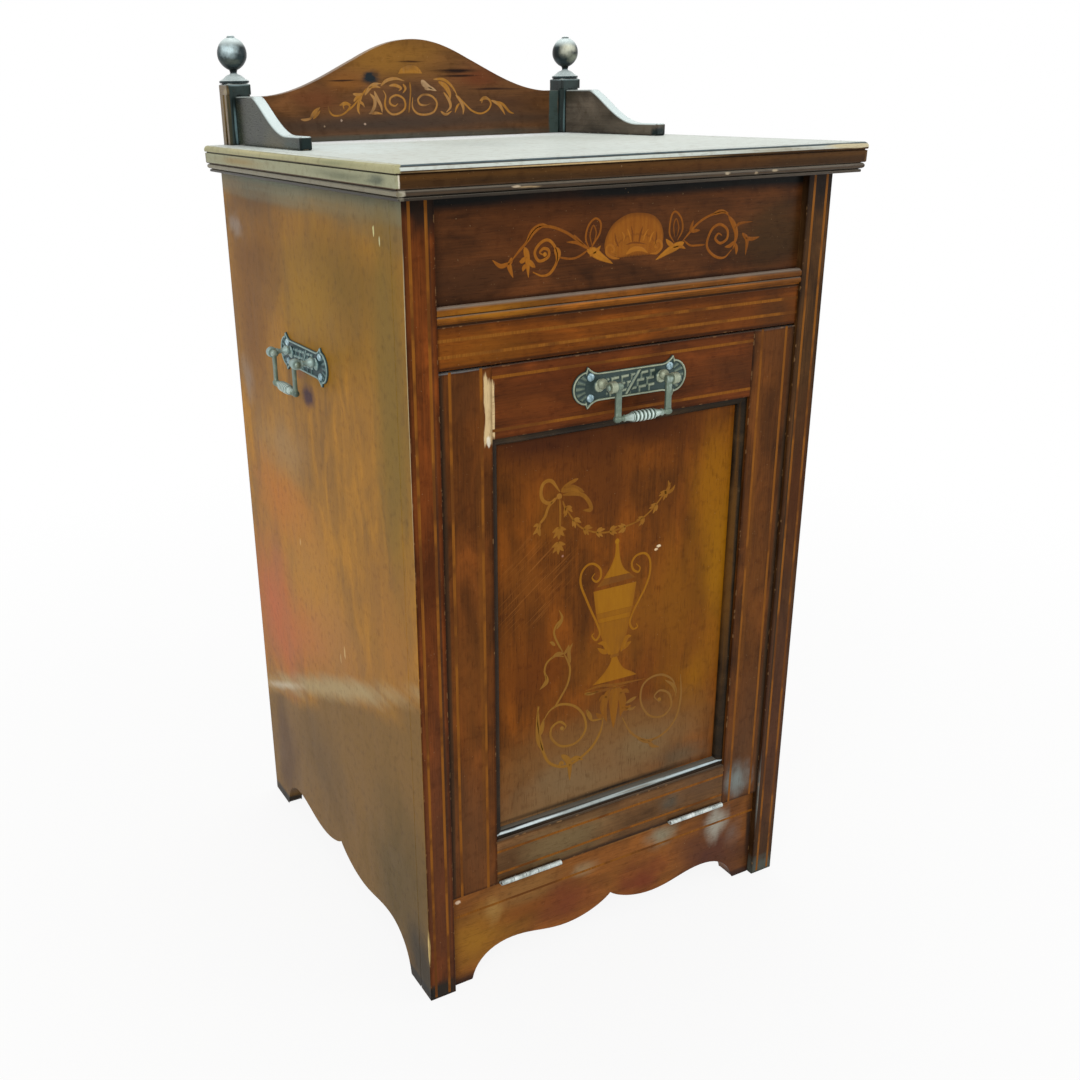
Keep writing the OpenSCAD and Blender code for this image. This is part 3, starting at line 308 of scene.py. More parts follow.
def polished_wood(name, axis, colour, shift=0.0, box=None, patches=(), spread=0.2, gloss=0.36,
                  wear=1.0, worn=(168, 128, 84), shine=0.06, dust=((150, 146, 134), 0.35),
                  scratch=None):
    """French polished wood. Three noises, fine fibre, stripes and clouds, are drawn out along the
    grain and added up, and their sum picks a shade of the colour. Pores are short dark dashes.
    Patches (centre, reach, softness, colour, amount) fade into other colours. Near the edges of the
    box old polish lies dark, and the very edge is rubbed through here and there. What faces up is
    blended towards a pale colour, on ebonised wood a painted reflection of the sky, and a scratch
    (a patch and an angle) fills a place with fine slanting lines."""
    finish, place, shader = blank_finish(name)
    fibre = clouds(place, along_grain(axis, 900, 16), 4, shift)
    stripe = clouds(place, along_grain(axis, 44, 2.0), 4, shift + 3, 0.7)
    cloud = clouds(place, along_grain(axis, 46, 17), 5, shift + 7, 0.8)
    depth = (0.20 * fibre + 0.16 * stripe + 0.64 * cloud - 0.5) * 2.9 + 0.5
    wood = picked(depth, (0.1, 0.38, 0.62, 0.9), shades(colour, spread))
    for patch in patches:
        there = spot(place, patch, shift) * patch[4] * (0.76 + 0.24 * depth)
        wood = blend_of(there, wood, tone(*patch[3]))
    pores = ramp_up(clouds(place, along_grain(axis, 1500, 110), 2, shift), 0.58, 0.7)
    wood = darken(pores * 0.4, wood, tone(150, 128, 104))
    mottle = ramp_up(clouds(place, (150, 150, 150), 4, shift + 1), 0.5, 0.75)
    wood = darken(mottle * 0.35, wood, tone(178, 160, 140))
    specks = ramp_up(clouds(place, (700, 700, 700), 2, shift + 5), 0.735, 0.77)
    wood = blend_of(specks * 0.4, wood, tone(176, 146, 104))
    if scratch:
        slant = place.node("ShaderNodeMapping", {},
                           {"Vector": place, "Rotation": (0, scratch[5], 0)})
        lines = ramp_up(clouds(slant, (26, 26, 1100), 2, 3.0), 0.57, 0.66)
        wood = blend_of(lines * spot(place, scratch[:5], shift) * scratch[4], wood,
                        tone(*scratch[3]))
    # What faces up is blended towards the given pale colour; on ebonised wood this is a painted
    # reflection of the sky.
    up = split(place.node("ShaderNodeTexCoord", out="Normal"))[2]
    wood = blend_of(ramp_up(up, 0.3, 0.8) * dust[1], wood, tone(*dust[0]))
    rough = gloss + 0.16 * cloud + 0.1 * pores
    if box:
        gap = edge_gap(place, *box)
        wood = darken((1 - ramp_up(gap, 0.0, 0.003)) * 0.6, wood, tone(124, 106, 90))
        rub = 1 - ramp_up(gap, 0.0004, 0.0012)
        rub = rub * ramp_up(clouds(place, (170, 170, 170), 4, shift + 9), 0.58, 0.65)
        wood = blend_of(rub * 0.7 * wear, wood, tone(*worn))
        rough = rough + 0.15 * rub
    bump = bumps(fibre - pores, 0.2, 0.0002)
    feed(shader, Base_Color=wood, Roughness=rough, Normal=bump, Specular_IOR_Level=shine)
    return finish


def shown(name, mesh, body, finish, nodes=()):
    """A finished piece: an object at the origin that rides on its body and stands for its nodes."""
    piece = bpy.data.objects.new(name, mesh)
    bpy.context.collection.objects.link(piece)
    mesh.materials.clear()
    mesh.materials.append(finish)
    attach(piece, body)
    if nodes:
        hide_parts(*nodes)
    return piece


crease = 32                                        # degrees; sharper edges are shaded sharp


def groove_wall(face):
    """Whether a face is the wall of a groove for an inlay: a strip less than a millimetre deep."""
    corners = np.array([vert.co for vert in face.verts])
    return np.sort(np.ptp(corners, axis=0))[1] < 0.00095


def level_faces(piece):
    """Lets the big flat faces, not the narrow rounded ones, decide how each edge is shaded."""
    piece.modifiers.new("level", "WEIGHTED_NORMAL").keep_sharp = True


toe_round, floor_gap = 0.0045, 0.0002              # a worn foot's radius; a gap that is no gap


def eased_copy(node, body, finish, ease=0.0006, toe=None):
    """A node's own shape with its edges rubbed round: the loose triangles are joined, flat ones
    merged, and a small bevel runs along every outer edge but those of the inlay's grooves. The
    corners of the feet, edges that lie on the floor along the toe axis, are worn rounder."""
    shape = bmesh.new()
    shape.from_mesh(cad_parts[node].data)
    bmesh.ops.remove_doubles(shape, verts=shape.verts, dist=1e-6)
    bmesh.ops.dissolve_limit(shape, angle_limit=radians(0.5), verts=shape.verts, edges=shape.edges)
    weight = shape.edges.layers.float.new("bevel_weight_edge")
    widest = toe_round if toe is not None else ease
    for edge in shape.edges:
        if len(edge.link_faces) < 2 or edge.calc_face_angle_signed() <= radians(crease):
            continue
        a, b = (vert.co for vert in edge.verts)
        on_toe = toe is not None and max(a.z, b.z) < floor_gap
        on_toe = on_toe and abs((b - a).normalized()[toe]) > 0.99
        if not any(groove_wall(face) for face in edge.link_faces):
            edge[weight] = 1.0 if on_toe else ease / widest
    mesh = bpy.data.meshes.new(node + "_eased")
    shape.to_mesh(mesh)
    shape.free()
    mesh.shade_smooth()
    mesh.set_sharp_from_angle(angle=radians(crease))
    piece = shown(node + "_eased", mesh, body, finish, (node,))
    bevel = piece.modifiers.new("ease", "BEVEL")
    bevel.width = widest
    bevel.segments = 4 if toe is not None else 2
    bevel.limit_method = "WEIGHT"
    level_faces(piece)
    return piece


def sheet(points, loop_rows=False, loop_columns=False):
    """Quads over a grid of points; a looped direction joins its last line to its first."""
    rows, columns = points.shape[:2]
    at = np.arange(rows * columns).reshape(rows, columns)
    at = np.concatenate([at, at[:1]]) if loop_rows else at
    at = np.concatenate([at, at[:, :1]], 1) if loop_columns else at
    quads = np.stack([at[:-1, :-1], at[1:, :-1], at[1:, 1:], at[:-1, 1:]], -1)
    return points.reshape(-1, 3), quads.reshape(-1, 4)


def solid_mesh(name, sheets, marks, sharp, weld=1e-7):
    """Joins sheets into closed solids: welds seams and poles, caps open ends and turns the faces
    outward. marks are three numbers for every point, kept as a colour attribute."""
    starts = np.cumsum([0] + [len(points) for points, _ in sheets])
    points = np.concatenate([points for points, _ in sheets])
    quads = np.concatenate([quads + start for (_, quads), start in zip(sheets, starts)])
    mesh = bpy.data.meshes.new(name)
    mesh.from_pydata(points, [], quads)
    if marks is not None:
        marks = np.concatenate([np.reshape(mark, (-1, 3)) for mark in marks])
        layer = mesh.attributes.new("marks", "FLOAT_COLOR", "POINT")
        layer.data.foreach_set("color", np.column_stack([marks, np.ones(len(marks))]).ravel())
    shape = bmesh.new()
    shape.from_mesh(mesh)
    bmesh.ops.remove_doubles(shape, verts=shape.verts, dist=weld)
    bmesh.ops.dissolve_degenerate(shape, dist=weld, edges=shape.edges)
    bmesh.ops.holes_fill(shape, edges=shape.edges, sides=0)
    bmesh.ops.recalc_face_normals(shape, faces=shape.faces)
    shape.to_mesh(mesh)
    shape.free()
    mesh.shade_smooth()
    mesh.set_sharp_from_angle(angle=radians(sharp))
    return mesh


def cast(name, sheets, body, finish, nodes, marks=None, sharp=40):
    """A finished piece made of sheets."""
    return shown(name, solid_mesh(name, sheets, marks, sharp), body, finish, nodes)


def framed_run(low, high, profile):
    """A moulding carried round a rectangle with mitred corners. The profile is set in from the
    outside and up from the bottom."""
    inset, up = np.array(profile).T
    x = np.array([-1, 1, 1, -1])[:, None] * ((high.x - low.x) / 2 - inset) + (high.x + low.x) / 2
    y = np.array([-1, -1, 1, 1])[:, None] * ((high.y - low.y) / 2 - inset) + (high.y + low.y) / 2
    return sheet(np.stack([x, y, low.z + up + 0 * x], -1), loop_rows=True)


top_low, top_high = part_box("top_board")
thick = top_high.z - top_low.z
lip = [(0.0034 - 0.0034 * cos(a), thick - 0.0036 + 0.0036 * sin(a))
       for a in np.radians(np.linspace(-25, 90, 12))]
top_profile = [(0.0012, 0), (0.0006, 0.0006), (0.0005, thick - 0.0062), (0.0017, thick - 0.0058),
               (0.0017, thick - 0.0053), *lip, (0.0078, thick), (0.0081, thick - 0.0006),
               (0.0088, thick - 0.0006), (0.0091, thick), (0.02, thick)]
front_face, left_face, right_face = top_low.y + 0.0005, -top_high.x + 0.0005, top_high.x - 0.0005
fascia = top_low.z + 0.0042
lip_z = top_high.z - 0.0027
top_wood = polished_wood("top_wood", "x", (64, 42, 20), 1.0, None, [
    # Painted light: the sky's reflection over the upper face, highlights along the lip, a left end
    # painted pale with sheen, and painted shade under the front and left edges.
    ((0.0, 0.0, top_high.z), (0.7, 0.7, 0.0008), 0.4, (206, 213, 205), 1.4, 0, True),
    ((0.0, -0.13, top_high.z), (0.20, 0.04, 0.0012), 1.0, (196, 204, 196), 0.6),
    ((-0.12, 0.06, top_high.z), (0.09, 0.16, 0.0012), 1.0, (224, 236, 233), 0.9),
    ((0.0, 0.165, top_high.z), (0.30, 0.09, 0.0012), 1.0, (250, 255, 255), 1.3),
    ((0.10, 0.02, top_high.z), (0.07, 0.10, 0.0012), 1.0, (192, 196, 186), 0.6),
    ((-0.02, 0.0, top_high.z), (0.05, 0.08, 0.0012), 1.0, (186, 194, 188), 0.5),
    ((0.0, front_face, fascia + 0.002), (0.7, 0.0022, 0.0030), 1.0, (92, 60, 24), 0.7),
    ((0.05, front_face, fascia), (0.12, 0.0022, 0.005), 0.9, (88, 52, 20), 0.6),
    ((0.0, front_face, top_low.z), (0.7, 0.004, 0.0014), 0.6, (22, 17, 13), 1.1),
    ((0.0, front_face + 0.002, top_high.z - 0.0008), (0.7, 0.004, 0.0007), 0.4, (70, 84, 88), 1.2,
     0, True),
    ((0.0, front_face, lip_z), (0.7, 0.003, 0.0014), 0.4, (208, 216, 208), 1.2, 0, True),
    ((-0.06, front_face, lip_z - 0.002), (0.15, 0.003, 0.0010), 0.9, (204, 176, 128), 1.1),
    ((0.10, front_face, lip_z), (0.08, 0.003, 0.0018), 1.0, (150, 134, 98), 0.8),
    ((0.175, front_face, lip_z), (0.03, 0.003, 0.0024), 0.6, (208, 196, 160), 1.2),
    ((-0.1915, front_face, fascia + 0.001), (0.0027, 0.003, 0.0110), 0.4, (224, 216, 194), 1.3),
    ((left_face, 0.0, fascia), (0.0022, 0.7, 0.0062), 0.25, (160, 160, 130), 1.3, 0, True),
    ((left_face, 0.10, fascia), (0.0022, 0.10, 0.005), 1.0, (156, 132, 84), 0.9),
    ((left_face, -0.11, fascia), (0.0022, 0.07, 0.005), 1.0, (112, 116, 92), 0.9),
    ((left_face, -0.165, fascia), (0.0022, 0.02, 0.005), 0.9, (84, 92, 78), 0.9),
    ((left_face, 0.0, lip_z), (0.0045, 0.7, 0.0030), 0.35, (172, 168, 128), 1.2, 0, True),
    ((left_face, -0.10, lip_z), (0.0045, 0.06, 0.003), 1.0, (130, 134, 100), 0.8),
    ((left_face, 0.06, lip_z + 0.001), (0.0045, 0.08, 0.002), 1.0, (196, 186, 140), 0.8),
    ((left_face + 0.0012, 0.0, top_high.z - 0.0056), (0.002, 0.7, 0.0008), 0.5, (60, 54, 36), 1.1),
    ((left_face, 0.0, top_low.z), (0.003, 0.7, 0.0010), 0.6, (44, 40, 30), 1.0),
    ((right_face, 0.0, fascia), (0.0022, 0.7, 0.0062), 0.3, (92, 68, 42), 1.2, 0, True),
    ((0.0, top_high.y, fascia), (0.7, 0.0022, 0.0062), 0.3, (96, 74, 50), 1.2, 0, True),
    ((0.0, 0.0, top_low.z), (0.7, 0.7, 0.0010), 0.5, (84, 62, 42), 1.0),
    ((0.0, top_low.y + 0.0085, top_high.z), (0.194, 0.0010, 0.004), 0.6, (74, 84, 84), 1.0),
    ((left_face + 0.008, 0.0, top_high.z), (0.0010, 0.19, 0.004), 0.6, (74, 84, 84), 0.5),
    ((right_face - 0.008, 0.0, top_high.z), (0.0010, 0.19, 0.004), 0.6, (74, 84, 84), 0.6),
], 0.08, 0.34, dust=((0, 0, 0), 0.0))
level_faces(cast("top_board_moulded", [framed_run(top_low, top_high, top_profile)], "carcass",
                 top_wood, ("top_board",)))


# ---- Moulding under the top ----
# A thin ebonised fillet planted under the top board and mitred at the front corners.
# Its colour stays dark, with a painted highlight along the crown of its bead, a left end painted
# lighter where the light falls and painted shade along its lower edge.
low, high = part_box("top_moulding")
round_bead = [(0.0024 - 0.0023 * sin(a), 0.0046 - 0.0021 * cos(a))
              for a in np.radians(np.linspace(0, 180, 9))]
bead_profile = [(0.02, 0), (0.0022, 0), (0.0018, 0.0004), (0.0018, 0.0016), (0.0022, 0.002),
                (0.0034, 0.0021), *round_bead, (0.0024, 0.007), (0.02, 0.007)]
moulding_wood = polished_wood("moulding_wood", "x", (50, 42, 32), 2.0, None, [
    # A painted highlight along the bead's crown.
    ((0.0, low.y + 0.0015, low.z + 0.0058), (0.7, 0.004, 0.0010), 0.6, (112, 102, 88), 0.9),
    ((0.0, low.y + 0.001, low.z + 0.0040), (0.7, 0.004, 0.0012), 0.8, (74, 56, 36), 0.8),
    ((-0.108, low.y, low.z + 0.0048), (0.004, 0.004, 0.0012), 0.6, (210, 190, 160), 0.9),
    ((-0.098, low.y, low.z + 0.0042), (0.010, 0.004, 0.0009), 0.6, (186, 160, 120), 0.8),
    ((0.062, low.y, low.z + 0.005), (0.003, 0.004, 0.0012), 0.6, (196, 180, 150), 0.8),
    ((0.105, low.y, low.z + 0.005), (0.004, 0.004, 0.0010), 0.6, (190, 172, 140), 0.8),
    ((0.088, low.y, low.z + 0.004), (0.002, 0.004, 0.0012), 0.6, (180, 160, 130), 0.7),
    ((-0.188, low.y + 0.001, low.z + 0.004), (0.003, 0.004, 0.006), 0.6, (186, 180, 158), 0.9),
    # The left end painted lighter where the light falls, with painted shade along its lower edge.
    ((-high.x, 0.0, low.z + 0.004), (0.006, 0.7, 0.0026), 0.5, (132, 126, 102), 1.0),
    ((-high.x, 0.0, low.z + 0.0010), (0.006, 0.7, 0.0009), 0.5, (44, 42, 34), 0.9),
], 0.25, 0.3, shine=0.2)
cast("top_moulding_run", [framed_run(low, high, bead_profile)], "carcass", moulding_wood,
     ("top_moulding",))

# ---- Side panels ----
# One wide mahogany board each, grain upright, its lower edge sawn to a double curve. Patches make
# it golden in the middle, red low down and grey at the foot, partly the polish's own colour and
# partly painted sheen: grey-green along the top, pale near the back, and a pale band with darker
# wood below it where the floor's edge is reflected. A painted shadow lies under the handle.
side_x = 0.18
floor_reflection_slope = -0.409                                      # how steeply the painted reflection of the floor's edge climbs to the front
side_patches = [                                   # places and reach along the board and up it
    # Painted sheen of the sky along the top, grey-green.
    (-0.10, 0.634, 0.24, 0.042, 0.9, (98, 106, 86), 1.2),
    (0.12, 0.620, 0.14, 0.046, 1.0, (96, 66, 26), 1.1),
    (0.00, 0.634, 0.70, 0.024, 0.9, (126, 136, 116), 1.2),
    (-0.06, 0.560, 0.20, 0.095, 1.0, (124, 90, 14), 1.1),
    (0.12, 0.560, 0.10, 0.080, 1.0, (118, 76, 16), 1.1),
    (0.00, 0.535, 0.08, 0.070, 1.0, (158, 116, 26), 0.9),
    (0.15, 0.500, 0.06, 0.110, 1.0, (122, 78, 22), 1.0),
    # Painted pale haze near the back, high up and below the handle.
    (0.165, 0.585, 0.025, 0.014, 0.9, (156, 146, 136), 0.6),
    (0.168, 0.45, 0.020, 0.035, 0.9, (156, 142, 128), 0.5),
    (0.09, 0.405, 0.09, 0.055, 1.0, (164, 128, 80), 0.8),
    (0.10, 0.350, 0.12, 0.060, 1.0, (186, 114, 36), 1.0),
    (0.04, 0.290, 0.13, 0.110, 1.0, (184, 126, 40), 1.0),
    (0.15, 0.225, 0.10, 0.110, 1.0, (190, 102, 54), 1.1),
    (0.06, 0.235, 0.08, 0.060, 1.0, (186, 112, 50), 0.8),
    (-0.15, 0.480, 0.055, 0.18, 1.0, (124, 98, 34), 1.0),
    (-0.13, 0.300, 0.08, 0.10, 1.0, (164, 110, 40), 1.0),
    (-0.03, 0.250, 0.08, 0.060, 1.0, (168, 114, 54), 0.8),
    # A painted reflection of the floor's edge: darker wood below, a pale band and its brightest
    # stretch.
    (0.00, 0.093, 0.90, 0.110, 0.16, (122, 90, 38), 1.0, floor_reflection_slope),
    (0.02, 0.199, 0.30, 0.017, 0.95, (176, 156, 112), 0.9, floor_reflection_slope),
    (0.14, 0.147, 0.07, 0.007, 0.9, (204, 188, 160), 0.9, floor_reflection_slope),
    (0.15, 0.070, 0.05, 0.080, 0.8, (94, 66, 38), 0.9),
    (0.04, 0.100, 0.09, 0.070, 1.0, (104, 76, 32), 1.0),
    (-0.12, 0.080, 0.09, 0.150, 0.9, (96, 74, 30), 1.1),
    (-0.165, 0.025, 0.05, 0.065, 0.9, (58, 46, 26), 1.2),
    (0.00, 0.000, 0.60, 0.014, 0.6, (30, 28, 24), 1.0),
    # A painted shadow under the handle's grip.
    (0.0145, 0.4640, 0.018, 0.015, 1.0, (76, 46, 50), 1.3),
    (0.030, 0.4820, 0.016, 0.010, 1.0, (132, 84, 56), 0.8),
    (-0.130, 0.606, 0.0014, 0.0042, 0.4, (214, 210, 150), 1.0),
    (-0.139, 0.600, 0.0010, 0.0036, 0.4, (206, 206, 160), 1.0),
    (0.06, 0.325, 0.0016, 0.004, 0.4, (206, 170, 110), 0.8),
    (-0.03, 0.255, 0.0016, 0.007, 0.4, (206, 176, 120), 0.8),
    (-0.02, 0.245, 0.0012, 0.006, 0.4, (200, 168, 112), 0.8),
    (-0.1735, 0.052, 0.0020, 0.019, 0.5, (214, 186, 120), 1.3),
    (-0.1738, 0.50, 0.0010, 0.13, 0.6, (190, 176, 140), 0.9),
]
for side, name, colour, spread, strength in (
        (-1, "side_panel_left", (156, 108, 32), 0.10, 1.0),
        (1, "side_panel_right", (132, 86, 36), 0.18, 0.4)):
    patches = [((side * side_x, y, z), (0.05, along, up), soft, shade, strength * amount, *more)
               for y, z, along, up, soft, shade, amount, *more in side_patches]
    low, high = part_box(name)
    side_wood = polished_wood(name + "_wood", "z", colour, 3.0 + side,
                              (low - Vector((0, 0.05, 0)), high), patches, spread, 0.33, 0.6)
    eased_copy(name, "carcass", side_wood, 0.0004, 0)

# ---- Front stiles ----
# Narrow uprights glued over the edges of the sides, red-brown and dark at the foot, with a painted
# shadow under the top, painted shade along the gap by the door and two boxwood lines let in along
# their whole height. Their outer faces carry on the colour of the sides.
front = -0.17395                                   # the plane of the stiles' fronts
for name, side in (("front_stile_left", -1), ("front_stile_right", 1)):
    low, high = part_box(name)
    on_left, on_right = float(side < 0), float(side > 0)
    patches = [
        ((side * 0.1685, front, 0.14), (0.03, 0.02, 0.22), 1.0, (86, 52, 34), 0.8),
        # A painted shadow cast by the top.
        ((side * 0.1685, front, 0.63), (0.03, 0.02, 0.036), 0.8, (34, 24, 17), 1.1),
        ((side * 0.1685, front, 0.38), (0.03, 0.02, 0.10), 1.0, (84, 40, 14), 0.6),
        # Painted shade along the gap by the door.
        ((side * 0.1615, front, 0.30), (0.0022, 0.02, 0.4), 0.9, (44, 38, 28), 0.8),
        ((side * 0.1685, front, 0.004), (0.03, 0.03, 0.016), 0.7,
         (38, 37, 32) if side < 0 else (84, 88, 80), 1.1),
        ((-0.1800, front, 0.052), (0.0014, 0.0030, 0.019), 0.5, (214, 186, 120), 1.2 * on_left),
        ((-0.1802, front, 0.56), (0.0008, 0.0012, 0.06), 0.6, (206, 196, 170), 1.1 * on_left),
        ((0.1575, front, 0.09), (0.0012, 0.0030, 0.05), 0.9, (170, 176, 170), 0.8 * on_right)]
    stile_wood = polished_wood(name + "_wood", "z", (102, 52, 18) if side < 0 else (70, 46, 23),
                               11.0 + side, (low, high), patches, 0.24, 0.31, 0.5)
    stile = eased_copy(name, "carcass", stile_wood, 0.0004).data
    stile.materials.append(bpy.data.materials[name.replace("front_stile", "side_panel") + "_wood"])
    facing, middle = (np.empty(3 * len(stile.polygons)) for _ in range(2))
    stile.polygons.foreach_get("normal", facing)
    stile.polygons.foreach_get("center", middle)
    outer = (side * facing[::3] > 0.9) & (side * middle[::3] > side_x - 0.0001)
    stile.polygons.foreach_set("material_index", outer.astype(int))

# ---- Boxwood lines ----
# Strips of boxwood two millimetres wide, glued into scratched grooves and scraped flush. Old polish
# has turned them the colour of brass, and they are lost in dirt here and there.
def inlaid_lines(name, axis, colours, dirt):
    """Straight-grained pale wood with stains along it: two noises pick from the colours."""
    finish, place, shader = blank_finish(name)
    fibre = clouds(place, along_grain(axis, 900, 25), 3, 4.0)
    stain = clouds(place, (26, 26, 26), 4, 9.0)
    colour = picked(0.5 * fibre + 0.5 * stain, (0.25, 0.5, 0.75), colours)
    colour = blend_of(ramp_up(stain, 0.47, 0.60) * 0.85, colour, tone(*dirt))
    feed(shader, Base_Color=colour, Roughness=0.38 + 0.1 * stain, Specular_IOR_Level=0.06)
    return finish


case_line = inlaid_lines("case_line", "z", [(100, 58, 18), (138, 84, 26), (164, 106, 38)],
                         (90, 50, 19))
door_line = inlaid_lines("door_line", "z", [(104, 60, 18), (136, 82, 24), (160, 102, 36)],
                         (96, 54, 20))
for name, finish in (("carcass_stringing", case_line), ("door_stringing", door_line)):
    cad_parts[name].data.materials.clear()
    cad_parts[name].data.materials.append(finish)

# ---- Frieze ----
# A plain dark board set back between the stiles, veneered, with a marquetry shell between scrolls.
# Its upper part lies in the shadow of the top, painted as a near-black band.
def planed_board(low, high, r=0.0006, steps=3):
    """A board with rounded edges: a ball of radius r whose eight parts are pulled out to the
    corners of the box, so that the faces between stay flat."""
    low, high = np.array(low), np.array(high)
    quarter = np.linspace(0, pi / 2, steps + 1)
    round_z = np.concatenate([quarter - pi / 2, quarter])[:, None]
    round_xy = np.concatenate([quarter + i * pi / 2 for i in range(4)])[None, :]
    across = np.cos(round_z)
    ball = np.stack([across * np.cos(round_xy), across * np.sin(round_xy),
                     np.sin(round_z) + 0 * round_xy], -1)
    side_of_x = np.repeat([1, -1, -1, 1], steps + 1)[None, :] + 0 * round_z
    side_of_y = np.repeat([1, 1, -1, -1], steps + 1)[None, :] + 0 * round_z
    side_of_z = np.repeat([-1, 1], steps + 1)[:, None] + 0 * round_xy
    corner = np.stack([side_of_x, side_of_y, side_of_z], -1)
    return sheet((low + high) / 2 + corner * ((high - low) / 2 - r) + r * ball, loop_columns=True)


frieze_low, frieze_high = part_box("frieze_board")
frieze_face = front + 0.006
frieze_wood = polished_wood("frieze_wood", "x", (80, 46, 22), 21.0, None, on_face(frieze_face, [
    # A painted shadow cast by the top over the board's upper part.
    (0.0, 0.634, 0.6, 0.0220, 0.4, (23, 23, 22), 1.2, 0, True),
    (-0.05, 0.600, 0.09, 0.03, 1.0, (94, 50, 19), 0.7),
    (0.06, 0.605, 0.06, 0.02, 1.0, (88, 50, 20), 0.6),
    (-0.13, 0.575, 0.05, 0.02, 0.9, (72, 44, 24), 0.7),
    (0.13, 0.585, 0.05, 0.04, 0.9, (66, 46, 22), 0.8),
    (0.0, 0.560, 0.4, 0.0025, 0.8, (30, 20, 14), 0.8),
], 0.02), 0.2, 0.3)
level_faces(cast("frieze_plain_board", [planed_board(frieze_low, frieze_high)], "carcass",
                 frieze_wood, ("frieze_board",), sharp=crease))


# The marquetry is sawn from satinwood and boxwood, shaded in hot sand at its edges and scratched
# with veins. Each stroke gives its kind, width and shade, then points across and up in millimetres.
def eased_line(points, dense=8):
    """A smooth line through points: each stretch is the cubic whose slope at a point is half of
    the step between its two neighbours."""
    p = np.array(points, float)
    p = np.concatenate([2 * p[:1] - p[1:2], p, 2 * p[-1:] - p[-2:-1]])
    a, b, c, d = (p[i:len(p) - 3 + i, None] for i in range(4))
    t = np.linspace(0, 1, dense, endpoint=False)[None, :, None]
    square, cube = a - 2.5 * b + 2 * c - d / 2, 1.5 * (b - c) + (d - a) / 2
    bend = b + t * (c - a) / 2 + t ** 2 * square + t ** 3 * cube
    return np.concatenate([bend.reshape(-1, 2), p[-2:-1]])


veneer_proud = 0.00008


def inlay_strip(left, right, shade, face, sunk=0.0003):
    """A veneer between two lines on a board's face: level across, its edges turned down into the
    wood. Marks: 0 to 1 across, 0 to 1 along, and the veneer's own shade."""
    t = np.array([0, 0, 0.04, 0.35, 0.5, 0.65, 0.96, 1, 1])
    depth = np.array([sunk, 0, -0.7, -1, -1, -1, -0.7, 0, sunk])
    depth[2:7] *= veneer_proud
    flat = left[:, None] + t[None, :, None] * (right - left)[:, None]
    points = np.stack([flat[..., 0] * mm, face + depth[None, :] + 0 * flat[..., 0],
                       flat[..., 1] * mm], -1)
    along = np.linspace(0, 1, len(left))[:, None] + 0 * flat[..., 0]
    marks = np.stack([t[None, :] + 0 * along, along, shade + 0 * along], -1)
    return sheet(points, loop_columns=True), marks


def stroke(kind, width, points, shade, face):
    """A stem or leaf along a smooth line. A stem keeps its width and thins at both ends, a leaf
    swells early and comes to a point, a bud is round."""
    line = eased_line(points)
    t = np.linspace(0, 1, len(line))
    swell = {"stem": np.minimum(1, 0.3 + 5 * np.minimum(t, 1 - t)),
             "leaf": np.sin(pi * t ** 0.75) ** 0.8 + 0.04,
             "bud": np.sqrt(np.maximum(0.02, 1 - (2 * t - 1) ** 2))}[kind]
    way = np.gradient(line, axis=0)
    side = np.stack([-way[:, 1], way[:, 0]], -1) / np.maximum(np.hypot(*way.T), 1e-9)[:, None]
    half = (swell * width / 2)[:, None] * side
    return inlay_strip(line + half, line - half, shade, face)


def marquetry_finish(name, colours, edge, vein, grime=(90, 56, 26), hidden=0.35):
    """Sand-shaded veneer: the shade picks the colour, the edges are scorched, a scratched vein runs
    along the middle, and old polish hides it in patches."""
    finish, place, shader = blank_finish(name)
    marks = Wire(finish.node_tree).node("ShaderNodeAttribute", {"attribute_name": "marks"})
    across, along, shade = split(marks)
    grain = clouds(place, (500, 500, 60), 4, 6.0)
    worn = clouds(place, (38, 38, 38), 4, 13.0)
    colour = picked(shade + 0.35 * (grain - 0.5) + 0.3 * (worn - 0.5), (0.1, 0.5, 0.9), colours)
    from_edge = across.low(1 - across)
    colour = blend_of((1 - ramp_up(from_edge, 0.0, 0.14)) * 0.5, colour, tone(*edge))
    vein = ramp_up(from_edge, 0.465, 0.49) * ramp_up(along.low(1 - along), 0.08, 0.2) * vein
    colour = blend_of(vein, colour, tone(*edge))
    colour = blend_of(ramp_up(worn, 0.5, 0.66) * hidden, colour, tone(*grime))
    feed(shader, Base_Color=colour, Roughness=0.36 + 0.12 * grain, Specular_IOR_Level=0.06)
    return finish


def marquetry(name, nodes, body, finish, face, strokes, strips=()):
    """One mesh of veneers in place of nodes."""
    made = [stroke(kind, width, points, shade, face) for kind, width, shade, points in strokes]
    made += [inlay_strip(np.array(left, float), np.array(right, float), shade, face)
             for shade, left, right in strips]
    sheets, marks = zip(*made)
    cast(name, sheets, body, finish, nodes, marks)


